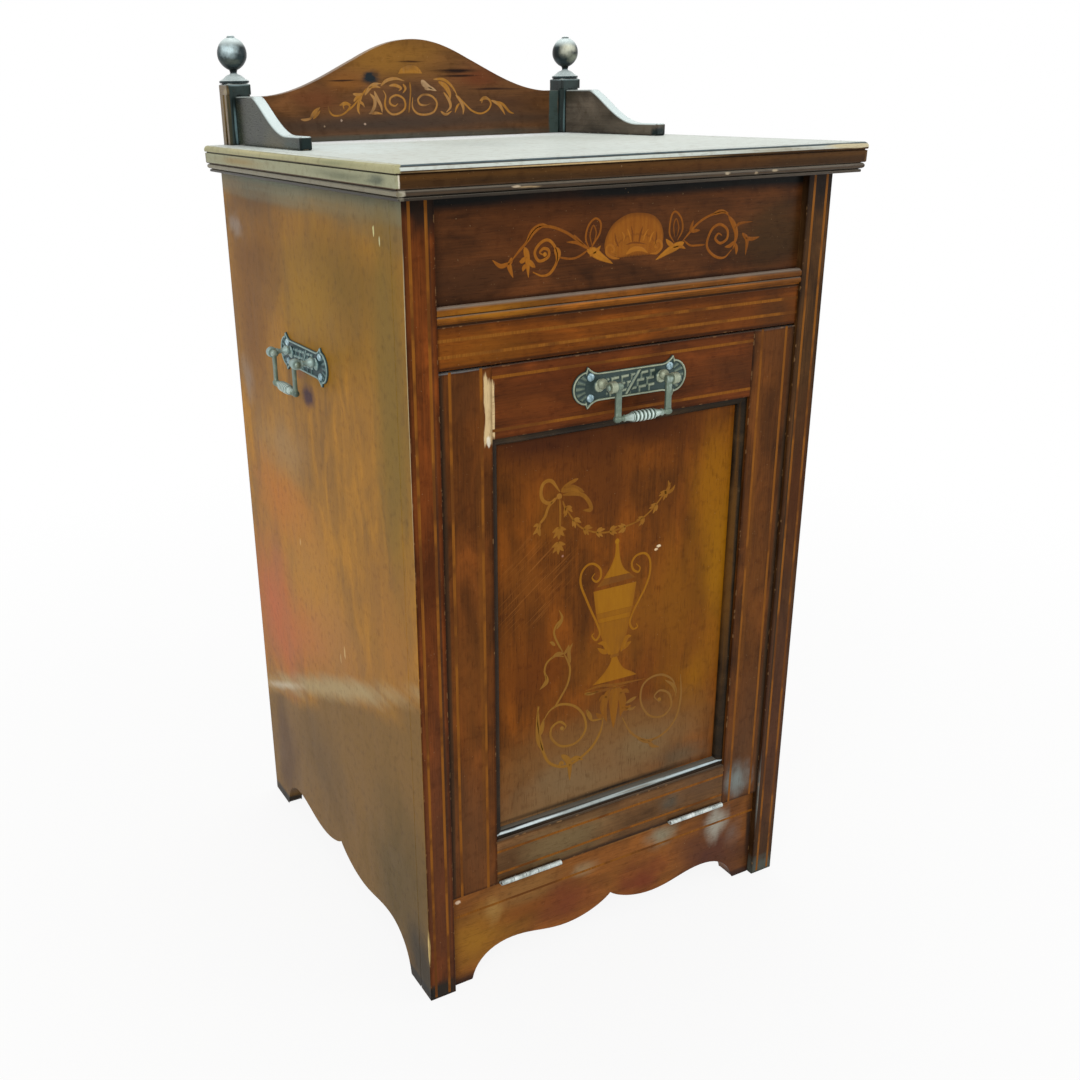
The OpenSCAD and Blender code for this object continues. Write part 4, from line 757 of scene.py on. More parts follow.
shell_top = eased_line([(-18.5, 580), (-22, 586), (-22, 591.5), (-19.5, 597.5), (-15, 603),
                        (-8, 607), (-1, 609), (7, 609), (14.5, 608), (20.5, 605.5), (25.5, 600.5),
                        (28, 594), (28, 588), (26.5, 582.5), (22.5, 580)])
shell_foot = np.stack([np.linspace(-9.5, 20.5, len(shell_top)),
                       580 + 0.7 * np.sin(np.arange(len(shell_top)) * 1.3)], -1)
frieze_strokes = [
    ("leaf", 3.2, 0.55, [(-98.5, 583), (-105.5, 581.5), (-112, 586)]),
    ("leaf", 3.6, 0.6, [(-99.5, 584), (-98.5, 579.5), (-96, 573)]),
    ("leaf", 3.0, 0.5, [(-97, 586.5), (-98.5, 583), (-103, 580.5)]),
    ("stem", 2.0, 0.5, [(-98, 583.5), (-91.5, 590), (-86, 595), (-80.5, 602), (-75, 605),
                        (-65, 604), (-53.5, 599.5), (-44, 593.5), (-35.5, 588)]),
    ("leaf", 4.2, 0.55, [(-85.5, 595), (-80.5, 602), (-74, 605.5), (-68, 605)]),
    ("leaf", 2.6, 0.5, [(-34.5, 587), (-44, 592), (-54, 593.5)]),
    ("leaf", 2.4, 0.5, [(-39, 590), (-46.5, 596), (-47.5, 598)]),
    ("stem", 1.6, 0.45, [(-61, 584), (-50.5, 582), (-43.5, 583), (-35.5, 587)]),
    ("stem", 2.2, 0.65, [(-80.5, 575.5), (-73.5, 572.5), (-67, 573.5), (-62, 579.5), (-61, 586),
                         (-64.5, 593), (-69.5, 596), (-75.5, 593.5), (-79, 588), (-75.5, 582.5),
                         (-68.5, 584.5), (-68, 589), (-72, 590.5), (-75, 588), (-71.5, 586)]),
    ("bud", 3.2, 0.8, [(-72.5, 587), (-69.5, 586)]),
    ("leaf", 5.0, 0.7, [(-63, 590.5), (-60.5, 586), (-61.5, 580)]),
    ("leaf", 4.4, 0.7, [(-87, 592.5), (-85, 586), (-84, 572)]),
    ("leaf", 3.4, 0.65, [(-85, 586), (-89, 583.5), (-91, 583.5)]),
    ("leaf", 3.4, 0.65, [(-84, 584), (-81, 580.5), (-78.5, 578.5)]),
    ("leaf", 3.0, 0.6, [(-85, 581), (-87.5, 579), (-88.5, 576.5)]),
    ("leaf", 6.5, 0.85, [(-37, 587), (-31, 585), (-25.5, 581.5), (-15, 576)]),
    ("leaf", 3.2, 0.75, [(-34.5, 582.5), (-29, 585.5), (-25.5, 589)]),
    ("stem", 1.5, 0.5, [(-34.5, 587), (-38, 594.5), (-36, 603), (-30.5, 607.5), (-26, 604.5),
                        (-26.5, 597.5), (-31, 591.5), (-34, 587)]),
    ("stem", 1.1, 0.4, [(-32.5, 588.5), (-34.5, 596.5), (-32, 603), (-29.5, 598), (-31, 592)]),
    ("leaf", 5.5, 0.85, [(47, 586), (39.5, 583.5), (32, 580.5), (22, 575.5)]),
    ("leaf", 3.4, 0.75, [(38.5, 583.5), (33.5, 586.5), (30.5, 589.5)]),
    ("leaf", 3.0, 0.7, [(37, 583), (43.5, 583.5), (48.5, 581.5)]),
    ("stem", 1.5, 0.5, [(38, 586.5), (33.5, 593.5), (34.5, 604.5), (38, 608), (43.5, 603),
                        (45, 595), (41, 588)]),
    ("stem", 1.1, 0.4, [(38, 590.5), (37, 598.5), (39, 603), (41.5, 597), (40.5, 591)]),
    ("stem", 1.8, 0.5, [(45.5, 587), (52, 593), (58, 598), (65.5, 602), (74.5, 604.5), (82.5, 605),
                        (88, 601)]),
    ("leaf", 3.2, 0.55, [(72, 604), (79.5, 605.5), (86.5, 604)]),
    ("leaf", 2.6, 0.45, [(52, 593), (53, 596.5), (54.5, 601)]),
    ("leaf", 2.6, 0.45, [(52.5, 593), (57, 593.5), (61, 593.5)]),
    ("stem", 1.5, 0.45, [(46.5, 587.5), (52.5, 583.5), (59, 583), (66, 583)]),
    ("stem", 2.1, 0.5, [(91.5, 577.5), (85, 572.5), (77, 573.5), (69.5, 579), (68, 585),
                        (72, 593.5), (79, 596.5), (86, 592.5), (86.5, 586), (80.5, 583),
                        (75.5, 586.5), (78, 590), (81.5, 588.5)]),
    ("leaf", 4.2, 0.5, [(86.5, 602), (92, 595.5), (95, 587.5), (92.5, 577.5)]),
    ("leaf", 3.0, 0.5, [(94, 583.5), (89.5, 580.5), (84.5, 580)]),
    ("leaf", 3.0, 0.5, [(94, 582.5), (96, 578), (96, 573.5)]),
    ("leaf", 2.2, 0.35, [(92.5, 592.5), (98, 596), (110, 596.5)]),
    ("leaf", 3.4, 0.4, [(100.5, 589), (105.5, 583.5), (105, 572.5)]),
    ("leaf", 3.0, 0.4, [(102, 585.5), (110, 584), (117.5, 585)]),
]
shell_strokes = [
    ("stem", 2.4, 0.7, [(-9.5, 579), (-15, 580), (-20, 583), (-20.5, 587), (-18, 589),
                        (-14.5, 586.5), (-15, 584), (-17, 584.5)]),
    ("stem", 2.4, 0.7, [(17, 580.5), (22.5, 580.5), (26.5, 583.5), (26.5, 587), (24, 589),
                        (21, 587.5), (21.5, 584.5), (23.5, 584.5)]),
    ("leaf", 4.0, 0.95, [(-4, 581.5), (2, 584.5), (9.5, 584), (15, 581)]),
    ("leaf", 1.6, 0.95, [(-8, 597), (-6, 594), (-6.5, 590.5)]),
    ("leaf", 1.6, 0.9, [(-3.5, 599), (-1.5, 595), (0, 590)]),
    ("leaf", 1.6, 0.9, [(10.5, 589.5), (12, 594), (15, 598)]),
    ("leaf", 1.6, 0.95, [(16, 588), (17.5, 592.5), (20, 596)]),
    ("leaf", 1.4, 0.12, [(1.5, 589), (1, 595), (0, 600.5)]),
    ("leaf", 1.4, 0.12, [(7, 588.5), (8, 594.5), (10, 600)]),
    ("leaf", 1.4, 0.12, [(-10.5, 587), (-13, 592), (-14, 597)]),
    ("leaf", 1.4, 0.12, [(20.5, 585.5), (22, 590.5), (22, 595.5)]),
    ("leaf", 1.2, 0.12, [(-4, 588), (1.5, 589), (7, 588.5), (14, 587)]),
]
frieze_veneer = marquetry_finish("frieze_veneer", [(84, 46, 18), (142, 82, 24), (176, 114, 34)],
                                 (92, 50, 18), 0.3, (92, 50, 20), 0.3)
marquetry("frieze_veneers", ("frieze_marquetry",), "carcass", frieze_veneer, frieze_face,
          frieze_strokes, [(0.55, shell_top, shell_foot)])
shell_veneer = marquetry_finish("shell_veneer", [(112, 62, 22), (146, 86, 26), (168, 104, 32)],
                                (92, 50, 18), 0.0, (120, 70, 24), 0.3)
marquetry("shell_shading", (), "carcass", shell_veneer, frieze_face - veneer_proud, shell_strokes)

# ---- Bead and rail over the door ----
# A bead of two half-round reeds glued under the frieze, with painted highlights along their crowns
# and its top edge and painted shade in the quirk and along its foot, over a plain rail with two
# boxwood lines and painted shade along the gap over the door.
def straight_run(low, high, profile):
    """A moulding carried along x. The profile is set in from the front and up from the bottom."""
    inset, up = np.array(profile).T
    x = np.array([low.x, high.x])[:, None]
    return sheet(np.stack([x + 0 * inset, low.y + inset + 0 * x, low.z + up + 0 * x], -1))


low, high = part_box("frieze_bead")
half_turn = np.radians(np.linspace(0, 180, 10))
reeds = [(0.013, 0), (0.0022, 0), (0.0020, 0.0022),
         *[(0.0015 - 0.0015 * sin(a), 0.0048 - 0.0022 * cos(a)) for a in half_turn],
         *[(0.0014 - 0.0014 * sin(a), 0.0097 - 0.0025 * cos(a)) for a in half_turn[:-1]],
         (0.0016, 0.0124), (0.0024, 0.0130), (0.013, 0.0130)]
reeds = [(min(inset, high.y - low.y), min(up, high.z - low.z)) for inset, up in reeds]
bead_wood = polished_wood("bead_wood", "x", (122, 72, 22), 31.0, None, on_face(front, [
    (0.13, low.z + 0.007, 0.10, 0.010, 1.0, (84, 50, 20), 0.8),
    (-0.12, low.z + 0.0075, 0.06, 0.006, 1.0, (170, 112, 26), 0.8),
    # Painted highlights on the two reeds' crowns, painted shade in the quirk between them, a
    # painted highlight on the top edge, painted shade along the foot and a painted glint at the
    # right end.
    (0.02, low.z + 0.0056, 0.20, 0.0010, 0.9, (190, 118, 48), 0.8),
    (0.06, low.z + 0.0108, 0.12, 0.0008, 0.9, (164, 104, 50), 0.6),
    (0.0, low.z + 0.0072, 0.6, 0.0007, 0.7, (44, 24, 10), 0.9),
    (0.0, low.z + 0.0126, 0.6, 0.0008, 0.7, (168, 152, 136), 0.8),
    (0.0, low.z + 0.0008, 0.6, 0.0016, 0.6, (24, 15, 9), 1.0),
    (0.160, low.z + 0.0115, 0.0025, 0.0025, 0.5, (206, 214, 212), 0.9)]), 0.2, 0.28)
cast("frieze_reeds", [straight_run(low, high, reeds)], "carcass", bead_wood, ("frieze_bead",))
low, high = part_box("head_rail")
head_wood = polished_wood("head_rail_wood", "x", (112, 60, 16), 33.0, (low, high), on_face(front, [
    (-0.12, 0.530, 0.05, 0.02, 1.0, (132, 78, 20), 0.7),
    (0.10, 0.530, 0.12, 0.03, 1.0, (88, 46, 18), 0.8),
    (0.14, 0.530, 0.03, 0.03, 1.0, (72, 44, 20), 0.8),
    (0.0, 0.5430, 0.30, 0.0030, 0.9, (60, 30, 12), 0.7),
    # Painted shade along the gap over the door.
    (0.0, 0.5185, 0.3, 0.0020, 0.8, (44, 24, 12), 0.8)]), 0.17, 0.31, 0.5)
eased_copy("head_rail", "carcass", head_wood, 0.0005)

# ---- Apron ----
# The board under the door, its lower edge sawn to a double curve about a cusp. Mops and boots have
# knocked its feet and left them dull.
low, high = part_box("apron")
apron_wood = polished_wood("apron_wood", "x", (124, 76, 34), 35.0, (low, high), on_face(front, [
    (-0.125, 0.040, 0.055, 0.045, 1.0, (154, 106, 36), 1.1),
    (-0.09, 0.072, 0.07, 0.026, 1.0, (140, 98, 52), 1.0),
    (-0.085, 0.050, 0.05, 0.014, 1.0, (134, 76, 30), 0.9),
    (-0.045, 0.042, 0.045, 0.036, 1.0, (118, 58, 36), 1.0),
    (0.00, 0.072, 0.05, 0.024, 1.0, (144, 88, 40), 0.9),
    (0.035, 0.040, 0.035, 0.030, 1.0, (116, 54, 34), 1.0),
    (0.115, 0.040, 0.065, 0.055, 1.0, (82, 48, 38), 1.2),
    # Two grey patches at the right are a painted reflection.
    (0.052, 0.077, 0.028, 0.020, 1.0, (140, 130, 106), 1.2),
    (0.113, 0.070, 0.018, 0.028, 1.0, (158, 152, 138), 1.3),
    (0.135, 0.050, 0.014, 0.020, 1.0, (112, 92, 80), 0.9),
    (-0.028, 0.070, 0.018, 0.012, 1.0, (150, 126, 92), 0.9),
    (-0.118, 0.062, 0.012, 0.020, 1.0, (172, 136, 76), 0.7),
    (-0.150, 0.0825, 0.0030, 0.0022, 0.4, (222, 194, 164), 1.2),
    (-0.003, 0.026, 0.0030, 0.0016, 0.4, (206, 180, 150), 0.9),
    (0.06, 0.086, 0.10, 0.0009, 0.5, (146, 100, 52), 0.9),
    # A painted shadow line in the gap under the door.
    (0.0, 0.0880, 0.18, 0.002, 0.7, (40, 27, 18), 1.0),
    (0.154, 0.05, 0.006, 0.05, 0.8, (50, 40, 34), 1.0),
    (0.0, 0.000, 0.6, 0.012, 0.8, (46, 30, 26), 1.0)]), 0.15, 0.34)
eased_copy("apron", "carcass", apron_wood, 0.0007, 1)

# ---- Gallery board ----
# The arched board between the posts, grain across, with its own marquetry. It has faded to a golden
# brown above, with dark streaks where the polish has gathered.
def sawn_board(across, bottom, top, near, far, r=0.0007):
    """A board whose upper edge is a curve: at each step across it has one loop, a rectangle from
    bottom to top with its corners rounded by r."""
    turn = np.linspace(0, pi / 2, 4)
    corner = np.concatenate([turn + i * pi / 2 for i in range(4)])
    right = np.repeat([1, 0, 0, 1], 4)
    upper = np.repeat([1, 1, 0, 0], 4)
    y = near + r + right * (far - near - 2 * r) + r * np.cos(corner)
    height = np.asarray(top)[:, None] - bottom - 2 * r
    z = bottom + r + upper[None, :] * height + r * np.sin(corner)[None, :]
    x = np.asarray(across)[:, None] + 0 * z
    return sheet(np.stack([x, y[None, :] + 0 * z, z], -1), loop_columns=True)


def bezier(points, steps=24):
    """A cubic curve through its first and last point, drawn towards the two between."""
    a, b, c, d = (np.array(p, float) for p in points)
    t = np.linspace(0, 1, steps)[:, None]
    return (1 - t) ** 3 * a + 3 * t * (1 - t) ** 2 * b + 3 * t ** 2 * (1 - t) * c + t ** 3 * d


low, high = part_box("gallery_board")
reach, rise, shoulder = high.x, high.z - low.z, 0.0385
arch = np.concatenate([
    bezier([(0, rise), (0.14 * reach, rise), (0.25 * reach, 0.91 * rise),
            (0.36 * reach, 0.81 * rise)]),
    bezier([(0.36 * reach, 0.81 * rise), (0.53 * reach, 0.667 * rise),
            (0.7 * reach, shoulder + 0.002), (0.9 * reach, shoulder)])[1:],
    [(reach, shoulder)]])
arch = np.concatenate([arch[:0:-1] * (-1, 1), arch])
gallery_face = low.y
gallery_wood = polished_wood("gallery_wood", "x", (100, 66, 38), 41.0, None, on_face(gallery_face, [
    (-0.02, 0.722, 0.10, 0.030, 1.0, (142, 98, 42), 1.2),
    (-0.070, 0.700, 0.030, 0.014, 1.0, (132, 84, 38), 0.9),
    (0.066, 0.702, 0.040, 0.014, 1.0, (106, 58, 32), 1.1),
    (-0.095, 0.686, 0.036, 0.014, 1.0, (110, 66, 38), 1.0),
    (0.0, 0.685, 0.070, 0.022, 1.0, (82, 58, 42), 1.1),
    (-0.0425, 0.7027, 0.013, 0.0075, 0.9, (36, 42, 46), 1.3),
    (0.044, 0.7075, 0.032, 0.0026, 0.9, (34, 20, 14), 1.2),
    (0.046, 0.7030, 0.028, 0.0014, 0.9, (42, 25, 16), 1.1),
    (0.082, 0.6915, 0.034, 0.0016, 0.9, (48, 30, 22), 1.1),
    (-0.068, 0.7005, 0.022, 0.0012, 0.9, (52, 32, 22), 1.1),
    (-0.002, 0.7155, 0.018, 0.0012, 0.8, (52, 30, 18), 1.0),
    (0.10, 0.680, 0.06, 0.014, 1.0, (78, 52, 34), 1.0),
    (0.0, 0.664, 0.3, 0.018, 1.0, (70, 56, 46), 1.1),
    (0.0, 0.652, 0.3, 0.006, 0.9, (76, 78, 70), 1.0),
    (-0.072, 0.6675, 0.0013, 0.0013, 0.5, (170, 146, 126), 1.0),
    (-0.0495, 0.6640, 0.0015, 0.0012, 0.5, (176, 150, 130), 1.0),
    (-0.0885, 0.6630, 0.0010, 0.0010, 0.5, (160, 136, 112), 1.0),
    (0.151, 0.67, 0.0065, 0.05, 0.35, (70, 84, 80), 1.3)]), 0.18, 0.34)
gallery_sheet = sawn_board(arch[:, 0], low.z, low.z + arch[:, 1], low.y, high.y)
level_faces(cast("gallery_plain_board", [gallery_sheet], "carcass", gallery_wood,
                 ("gallery_board",), sharp=crease))
gallery_strokes = [
    ("leaf", 2.6, 0.65, [(-110.5, 669.5), (-106.5, 669), (-101.5, 670), (-98, 673)]),
    ("leaf", 4.2, 0.55, [(-101.5, 670), (-96.5, 675.5), (-91.5, 679)]),
    ("leaf", 3.0, 0.5, [(-99, 669.5), (-94.5, 673.5), (-91.5, 676.5)]),
    ("stem", 1.9, 0.5, [(-84, 680), (-83, 675.5), (-79.5, 672), (-72.5, 672), (-66.5, 675),
                        (-63.5, 679), (-66, 681), (-69.5, 680), (-69, 677)]),
    ("leaf", 3.0, 0.5, [(-73.5, 680), (-67.5, 682), (-62, 680.5)]),
    ("stem", 1.9, 0.5, [(-67, 674.5), (-60, 679.5), (-54, 685.5), (-50, 689.5), (-46.5, 694)]),
    ("leaf", 3.4, 0.6, [(-60, 689.5), (-54.5, 688.5), (-48.5, 690)]),
    ("leaf", 3.2, 0.6, [(-51, 688), (-54.5, 681.5), (-55.5, 676), (-54, 672)]),
    ("leaf", 2.8, 0.6, [(-56.5, 683.5), (-51.5, 681.5), (-49, 678)]),
    ("leaf", 3.0, 0.55, [(-59.5, 683), (-56, 686.5), (-51.5, 687.5)]),
    ("leaf", 4.0, 0.65, [(-48.5, 688), (-44, 693.5), (-39, 697), (-31.5, 697.5)]),
    ("leaf", 3.2, 0.6, [(-45, 694), (-38.5, 695.5), (-32.5, 694)]),
    ("leaf", 3.8, 0.7, [(-43.5, 689.5), (-39, 684.5), (-39.5, 678.5), (-43, 673.5),
                        (-45.5, 672.5)]),
    ("leaf", 3.6, 0.7, [(-39, 691.5), (-36.5, 685.5), (-33, 679), (-32, 673)]),
    ("leaf", 3.0, 0.6, [(-43, 672.5), (-38, 673), (-31.5, 672)]),
    ("stem", 2.2, 0.6, [(-30.5, 692), (-28, 687.5), (-29, 681), (-27.5, 675.5), (-22, 671.5),
                        (-14.5, 672.5), (-9, 677), (-10, 684), (-16.5, 687.5), (-23, 685.5),
                        (-24, 681), (-19.5, 678.5), (-16, 680.5)]),
    ("leaf", 3.4, 0.65, [(-32.5, 695.5), (-26.5, 700), (-17.5, 701.5), (-9, 699.5)]),
    ("leaf", 3.2, 0.6, [(-24.5, 695.5), (-18.5, 696), (-12.5, 693.5), (-15, 691)]),
    ("leaf", 2.6, 0.6, [(-10.5, 697), (-8, 693), (-11, 689)]),
    ("stem", 1.8, 0.4, [(-3.5, 698.5), (-3, 691), (-4, 682), (-5.5, 672.5)]),
    ("stem", 2.2, 0.6, [(-1, 685.5), (-1.5, 677), (3.5, 671.5), (12.5, 670.5), (20.5, 673),
                        (23.5, 680), (18.5, 686), (10, 687.5), (4.5, 684), (6, 679.5), (12, 678.5),
                        (17, 680)]),
    ("leaf", 6.0, 0.95, [(8, 700), (12.5, 695.5), (22, 690.5)]),
    ("leaf", 4.4, 0.9, [(11, 692.5), (17, 693), (23.5, 690.5)]),
    ("leaf", 3.0, 0.6, [(20, 700.5), (31, 700), (39.5, 694), (45.5, 685)]),
    ("leaf", 5.4, 0.6, [(25.5, 698.5), (32.5, 694.5), (36.5, 688.5), (37.5, 683)]),
    ("leaf", 3.4, 0.65, [(30.5, 689.5), (36, 682.5), (37.5, 676.5), (32.5, 671.5)]),
    ("leaf", 2.8, 0.6, [(27, 673), (32.5, 670), (39, 673)]),
    ("leaf", 3.6, 0.65, [(43, 687), (48.5, 681), (51, 675), (50.5, 669.5)]),
    ("leaf", 2.6, 0.55, [(47, 679.5), (44, 676), (42, 671)]),
    ("stem", 2.0, 0.55, [(45.5, 686), (52.5, 679), (60.5, 672.5), (69.5, 670), (77.5, 673),
                         (80.5, 678.5), (77.5, 682.5), (72, 682.5), (70.5, 679)]),
    ("leaf", 3.0, 0.55, [(68.5, 681), (74, 684), (80.5, 681.5)]),
    ("leaf", 3.8, 0.6, [(80.5, 681.5), (88.5, 678), (92.5, 673.5), (96, 668)]),
    ("leaf", 3.0, 0.5, [(85.5, 680.5), (93.5, 677.5), (100.5, 671), (106, 669)]),
]
sun_top = eased_line([(-14.5, 706), (-12, 710), (-6.5, 712.5), (-1, 713.2), (4.5, 711.5),
                      (7.5, 708.5), (9, 706)])
sun_foot = np.stack([np.linspace(-14.5, 9, len(sun_top)), np.full(len(sun_top), 705.4)], -1)
gallery_veneer = marquetry_finish("gallery_veneer", [(96, 66, 40), (164, 112, 44), (176, 142, 104)],
                                  (84, 54, 32), 0.25, (88, 60, 38), 0.7)
finer = [(kind, 0.86 * width, shade - 0.02, points)
         for kind, width, shade, points in gallery_strokes]
marquetry("gallery_veneers", ("gallery_marquetry",), "carcass", gallery_veneer, gallery_face, finer,
          [(0.5, sun_top, sun_foot)])

# ---- Posts and brackets ----
# Square ebonised posts with a chamfered cap, dowelled through the top, and two swept brackets that
# tie them to it. The stain has gone green-black and shines; painted highlights run down the posts'
# chamfers and along their caps, and what faces up is painted pale for the reflected sky.
def ebonised(name, axis, colour, box=None, patches=(), shift=0.0, spread=0.3):
    """Black-stained wood, its polish bloomed green-grey and glossy, brown at rubbed edges, and
    painted almost white where it faces up, for the sky that it reflects."""
    return polished_wood(name, axis, colour, shift, box, patches, spread, 0.18, 1.0,
                         (150, 136, 112), 0.14, ((206, 220, 218), 1.0))


post_x = 0.166                                     # middle of a post and of its finial
for name, side in (("gallery_post_left", -1), ("gallery_post_right", 1)):
    low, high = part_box(name)
    on_left, on_right = float(side < 0), float(side > 0)
    post_finish = ebonised(name + "_finish", "z", (34, 46, 44), (low, high), [
        ((-0.1765, low.y + 0.012, 0.67), (0.003, 0.03, 0.06), 0.5, (110, 88, 46), 1.1 * on_left),
        ((-0.1765, low.y + 0.0015, 0.665), (0.003, 0.0030, 0.05), 0.8, (58, 60, 44), 1.1 * on_left),
        # Painted highlights on the left cap's edge and down its chamfer.
        ((-0.1765, low.y + 0.004, 0.693), (0.004, 0.008, 0.004), 0.8, (150, 134, 96), on_left),
        ((-0.1712, low.y, 0.664), (0.0016, 0.004, 0.026), 0.8, (110, 136, 140), 1.2 * on_left),
        ((-0.164, low.y, 0.696), (0.014, 0.004, 0.012), 0.9, (54, 66, 64), on_left),
        ((post_x, low.y, 0.695), (0.014, 0.004, 0.010), 0.9, (48, 62, 60), 1.1 * on_right),
        # Painted highlights down the right post's chamfer and on the tops of both caps.
        ((0.1590, low.y, 0.664), (0.0012, 0.01, 0.03), 0.8, (104, 128, 130), 1.1 * on_right),
        ((side * post_x, low.y, high.z - 0.001), (0.02, 0.03, 0.0022), 0.7, (150, 172, 176), 1.0),
    ], 51.0 + side)
    eased_copy(name, "carcass", post_finish, 0.0008)
for name, side in (("gallery_bracket_left", -1), ("gallery_bracket_right", 1)):
    low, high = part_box(name)
    patches = [
        ((side * 0.165, low.y + 0.05, low.z), (0.02, 0.05, 0.016), 0.9,
         (82, 76, 50) if side < 0 else (98, 88, 76), 1.0),
        ((side * 0.165, high.y, high.z), (0.02, 0.05, 0.02), 0.9, (52, 48, 36), 0.9),
        ((-0.175, low.y + 0.02, low.z + 0.004), (0.02, 0.03, 0.006), 0.9, (56, 70, 66), 0.8),
        ((side * 0.165, low.y, low.z), (0.02, 0.010, 0.012), 0.6, (26, 40, 40), 1.1),
        ((-0.170, high.y - 0.01, high.z), (0.02, 0.02, 0.012), 0.9, (26, 34, 34), 1.0)]
    bracket_finish = ebonised(name + "_finish", "y", (42, 46, 32) if side < 0 else (84, 76, 66),
                              (low, high), patches, 55.0 + side, 0.2)
    eased_copy(name, "carcass", bracket_finish, 0.0014)

# ---- Finials ----
# Turned from one piece each: a spreading foot, a tight neck and a ball with a small button on top,
# ebonised, with a spigot glued into the post. The balls and feet carry painted highlights, and the
# balls painted shade on their far sides and undersides.
def turned(profile, centre, axis="z", steps=72):
    """A profile of radius and distance, carried once round an axis through the centre."""
    radius, along = np.array(profile, float).T
    turn = np.linspace(0, 2 * pi, steps, endpoint=False)
    rings = np.stack([radius[:, None] * np.cos(turn), radius[:, None] * np.sin(turn),
                      along[:, None] + 0 * turn], -1)
    order = {"z": (0, 1, 2), "x": (2, 0, 1), "y": (0, 2, 1)}[axis]
    return sheet(np.array(centre) + rings[..., order], loop_columns=True)


def arc(centre, radius, start, end, steps=12):
    """Points on a circle between two angles in degrees."""
    a = np.radians(np.linspace(start, end, steps))
    return np.stack([centre[0] + radius * np.cos(a), centre[1] + radius * np.sin(a)], -1)


ball_wide, ball_tall, ball_up = 12.3, 13.1, 22.9   # millimetres: half width, half height, middle
button_top = ball_up + 14.2
ball_line = arc((0, 0), 1.0, -72, 76, 40) * (ball_wide, ball_tall)
ball_line[:, 0] *= 1 - 0.10 * np.maximum(0, (-3 - ball_line[:, 1]) / 10) ** 1.5
finial_profile = np.concatenate([
    [(0, 0), (11, 0)], arc((11.4, 1.2), 1.2, -90, 75, 8),
    [(11.0, 2.6), (9.8, 3.3), (8.4, 4.3), (7.0, 5.6), (5.2, 6.6), (3.6, 7.1), (2.9, 7.7)],
    [(2.8, 8.6)], ball_line + (0, ball_up),
    [(3.4, ball_up + 12.7), (3.3, ball_up + 13.4), (2.4, ball_up + 14.1), (0, ball_up + 14.15)]])
finial_sheen = ebonised("finial_finish", "z", (40, 52, 54), None, [
    # Painted highlights on the balls, their buttons and their feet, painted shade on the balls' far
    # sides and undersides.
    ((-0.1710, 0.168, 0.7255), (0.0100, 0.012, 0.0085), 1.0, (206, 228, 232), 1.3),
    ((-post_x, 0.178, 0.7345), (0.008, 0.02, 0.003), 0.9, (150, 176, 182), 1.0),
    ((-0.170, 0.172, 0.7165), (0.012, 0.012, 0.004), 1.0, (98, 104, 94), 0.8),
    ((-0.154, 0.180, 0.722), (0.006, 0.020, 0.016), 0.8, (20, 26, 26), 1.1),
    ((0.162, 0.169, 0.7265), (0.012, 0.013, 0.010), 1.0, (232, 234, 212), 1.3),
    ((0.168, 0.170, 0.7180), (0.010, 0.012, 0.006), 1.0, (140, 146, 128), 1.0),
    ((0.153, 0.180, 0.722), (0.005, 0.020, 0.016), 0.8, (20, 26, 24), 1.1),
    ((-post_x, 0.18, 0.7105), (0.02, 0.02, 0.0050), 0.9, (14, 20, 20), 1.2),
    ((post_x, 0.18, 0.7105), (0.02, 0.02, 0.0055), 0.9, (14, 18, 14), 1.2),
    ((-0.168, 0.17, 0.7050), (0.012, 0.02, 0.0040), 0.9, (150, 178, 186), 1.2),
    ((0.164, 0.17, 0.7050), (0.012, 0.02, 0.0040), 0.9, (140, 168, 178), 1.2)], 58.0, 0.16)
for side, name in ((-1, "finial_left"), (1, "finial_right")):
    low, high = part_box(name)
    foot = (side * post_x, (low.y + high.y) / 2, high.z - button_top * mm)
    spigot = turned([(0, -0.012), (0.004, -0.012), (0.004, 0.001), (0, 0.001)], foot)
    cast(name + "_turned", [turned(finial_profile * mm, foot), spigot], "carcass", finial_sheen,
         (name,), sharp=50)

# ---- Back and unseen timber ----
# Stained pine: a thin back board in rebates, the bottom board on bearers, glue blocks, cleats under
# the top and the stops that the door closes on. All rough from the saw and dusty with coal.
def pine(name, axis, tones, coal=0.3, shift=0.0):
    """Sawn pine: early and late wood in long flames, and coal dust that gathers in clouds."""
    finish, place, shader = blank_finish(name)
    flame = clouds(place, along_grain(axis, 45, 2.5), 3, shift, 1.2)
    fibre = clouds(place, along_grain(axis, 700, 14), 4, shift + 2)
    dust = clouds(place, (16, 16, 16), 5, shift + 4)
    colour = picked(0.75 * flame + 0.25 * fibre, (0.3, 0.48, 0.56, 0.7), (*tones, tones[1]))
    colour = blend_of(ramp_up(dust, 0.42, 0.66) * coal, colour, tone(26, 23, 21))
    bump = bumps(fibre, 0.5, 0.0004)
    feed(shader, Base_Color=colour, Roughness=0.62 + 0.2 * dust, Normal=bump,
         Specular_IOR_Level=0.3)
    return finish


back_pine = pine("back_pine", "z", [(84, 54, 32), (104, 70, 42), (126, 88, 54)], 0.25, 61.0)
case_pine = pine("case_pine", "x", [(116, 84, 52), (142, 106, 68), (166, 128, 86)], 0.35, 63.0)
for name, finish in (("back_panel", back_pine), ("bottom_board", case_pine),
                     ("bottom_bearers", case_pine), ("glue_blocks", case_pine),
                     ("top_cleats", case_pine), ("door_stops", case_pine)):
    eased_copy(name, "carcass", finish, 0.0004)

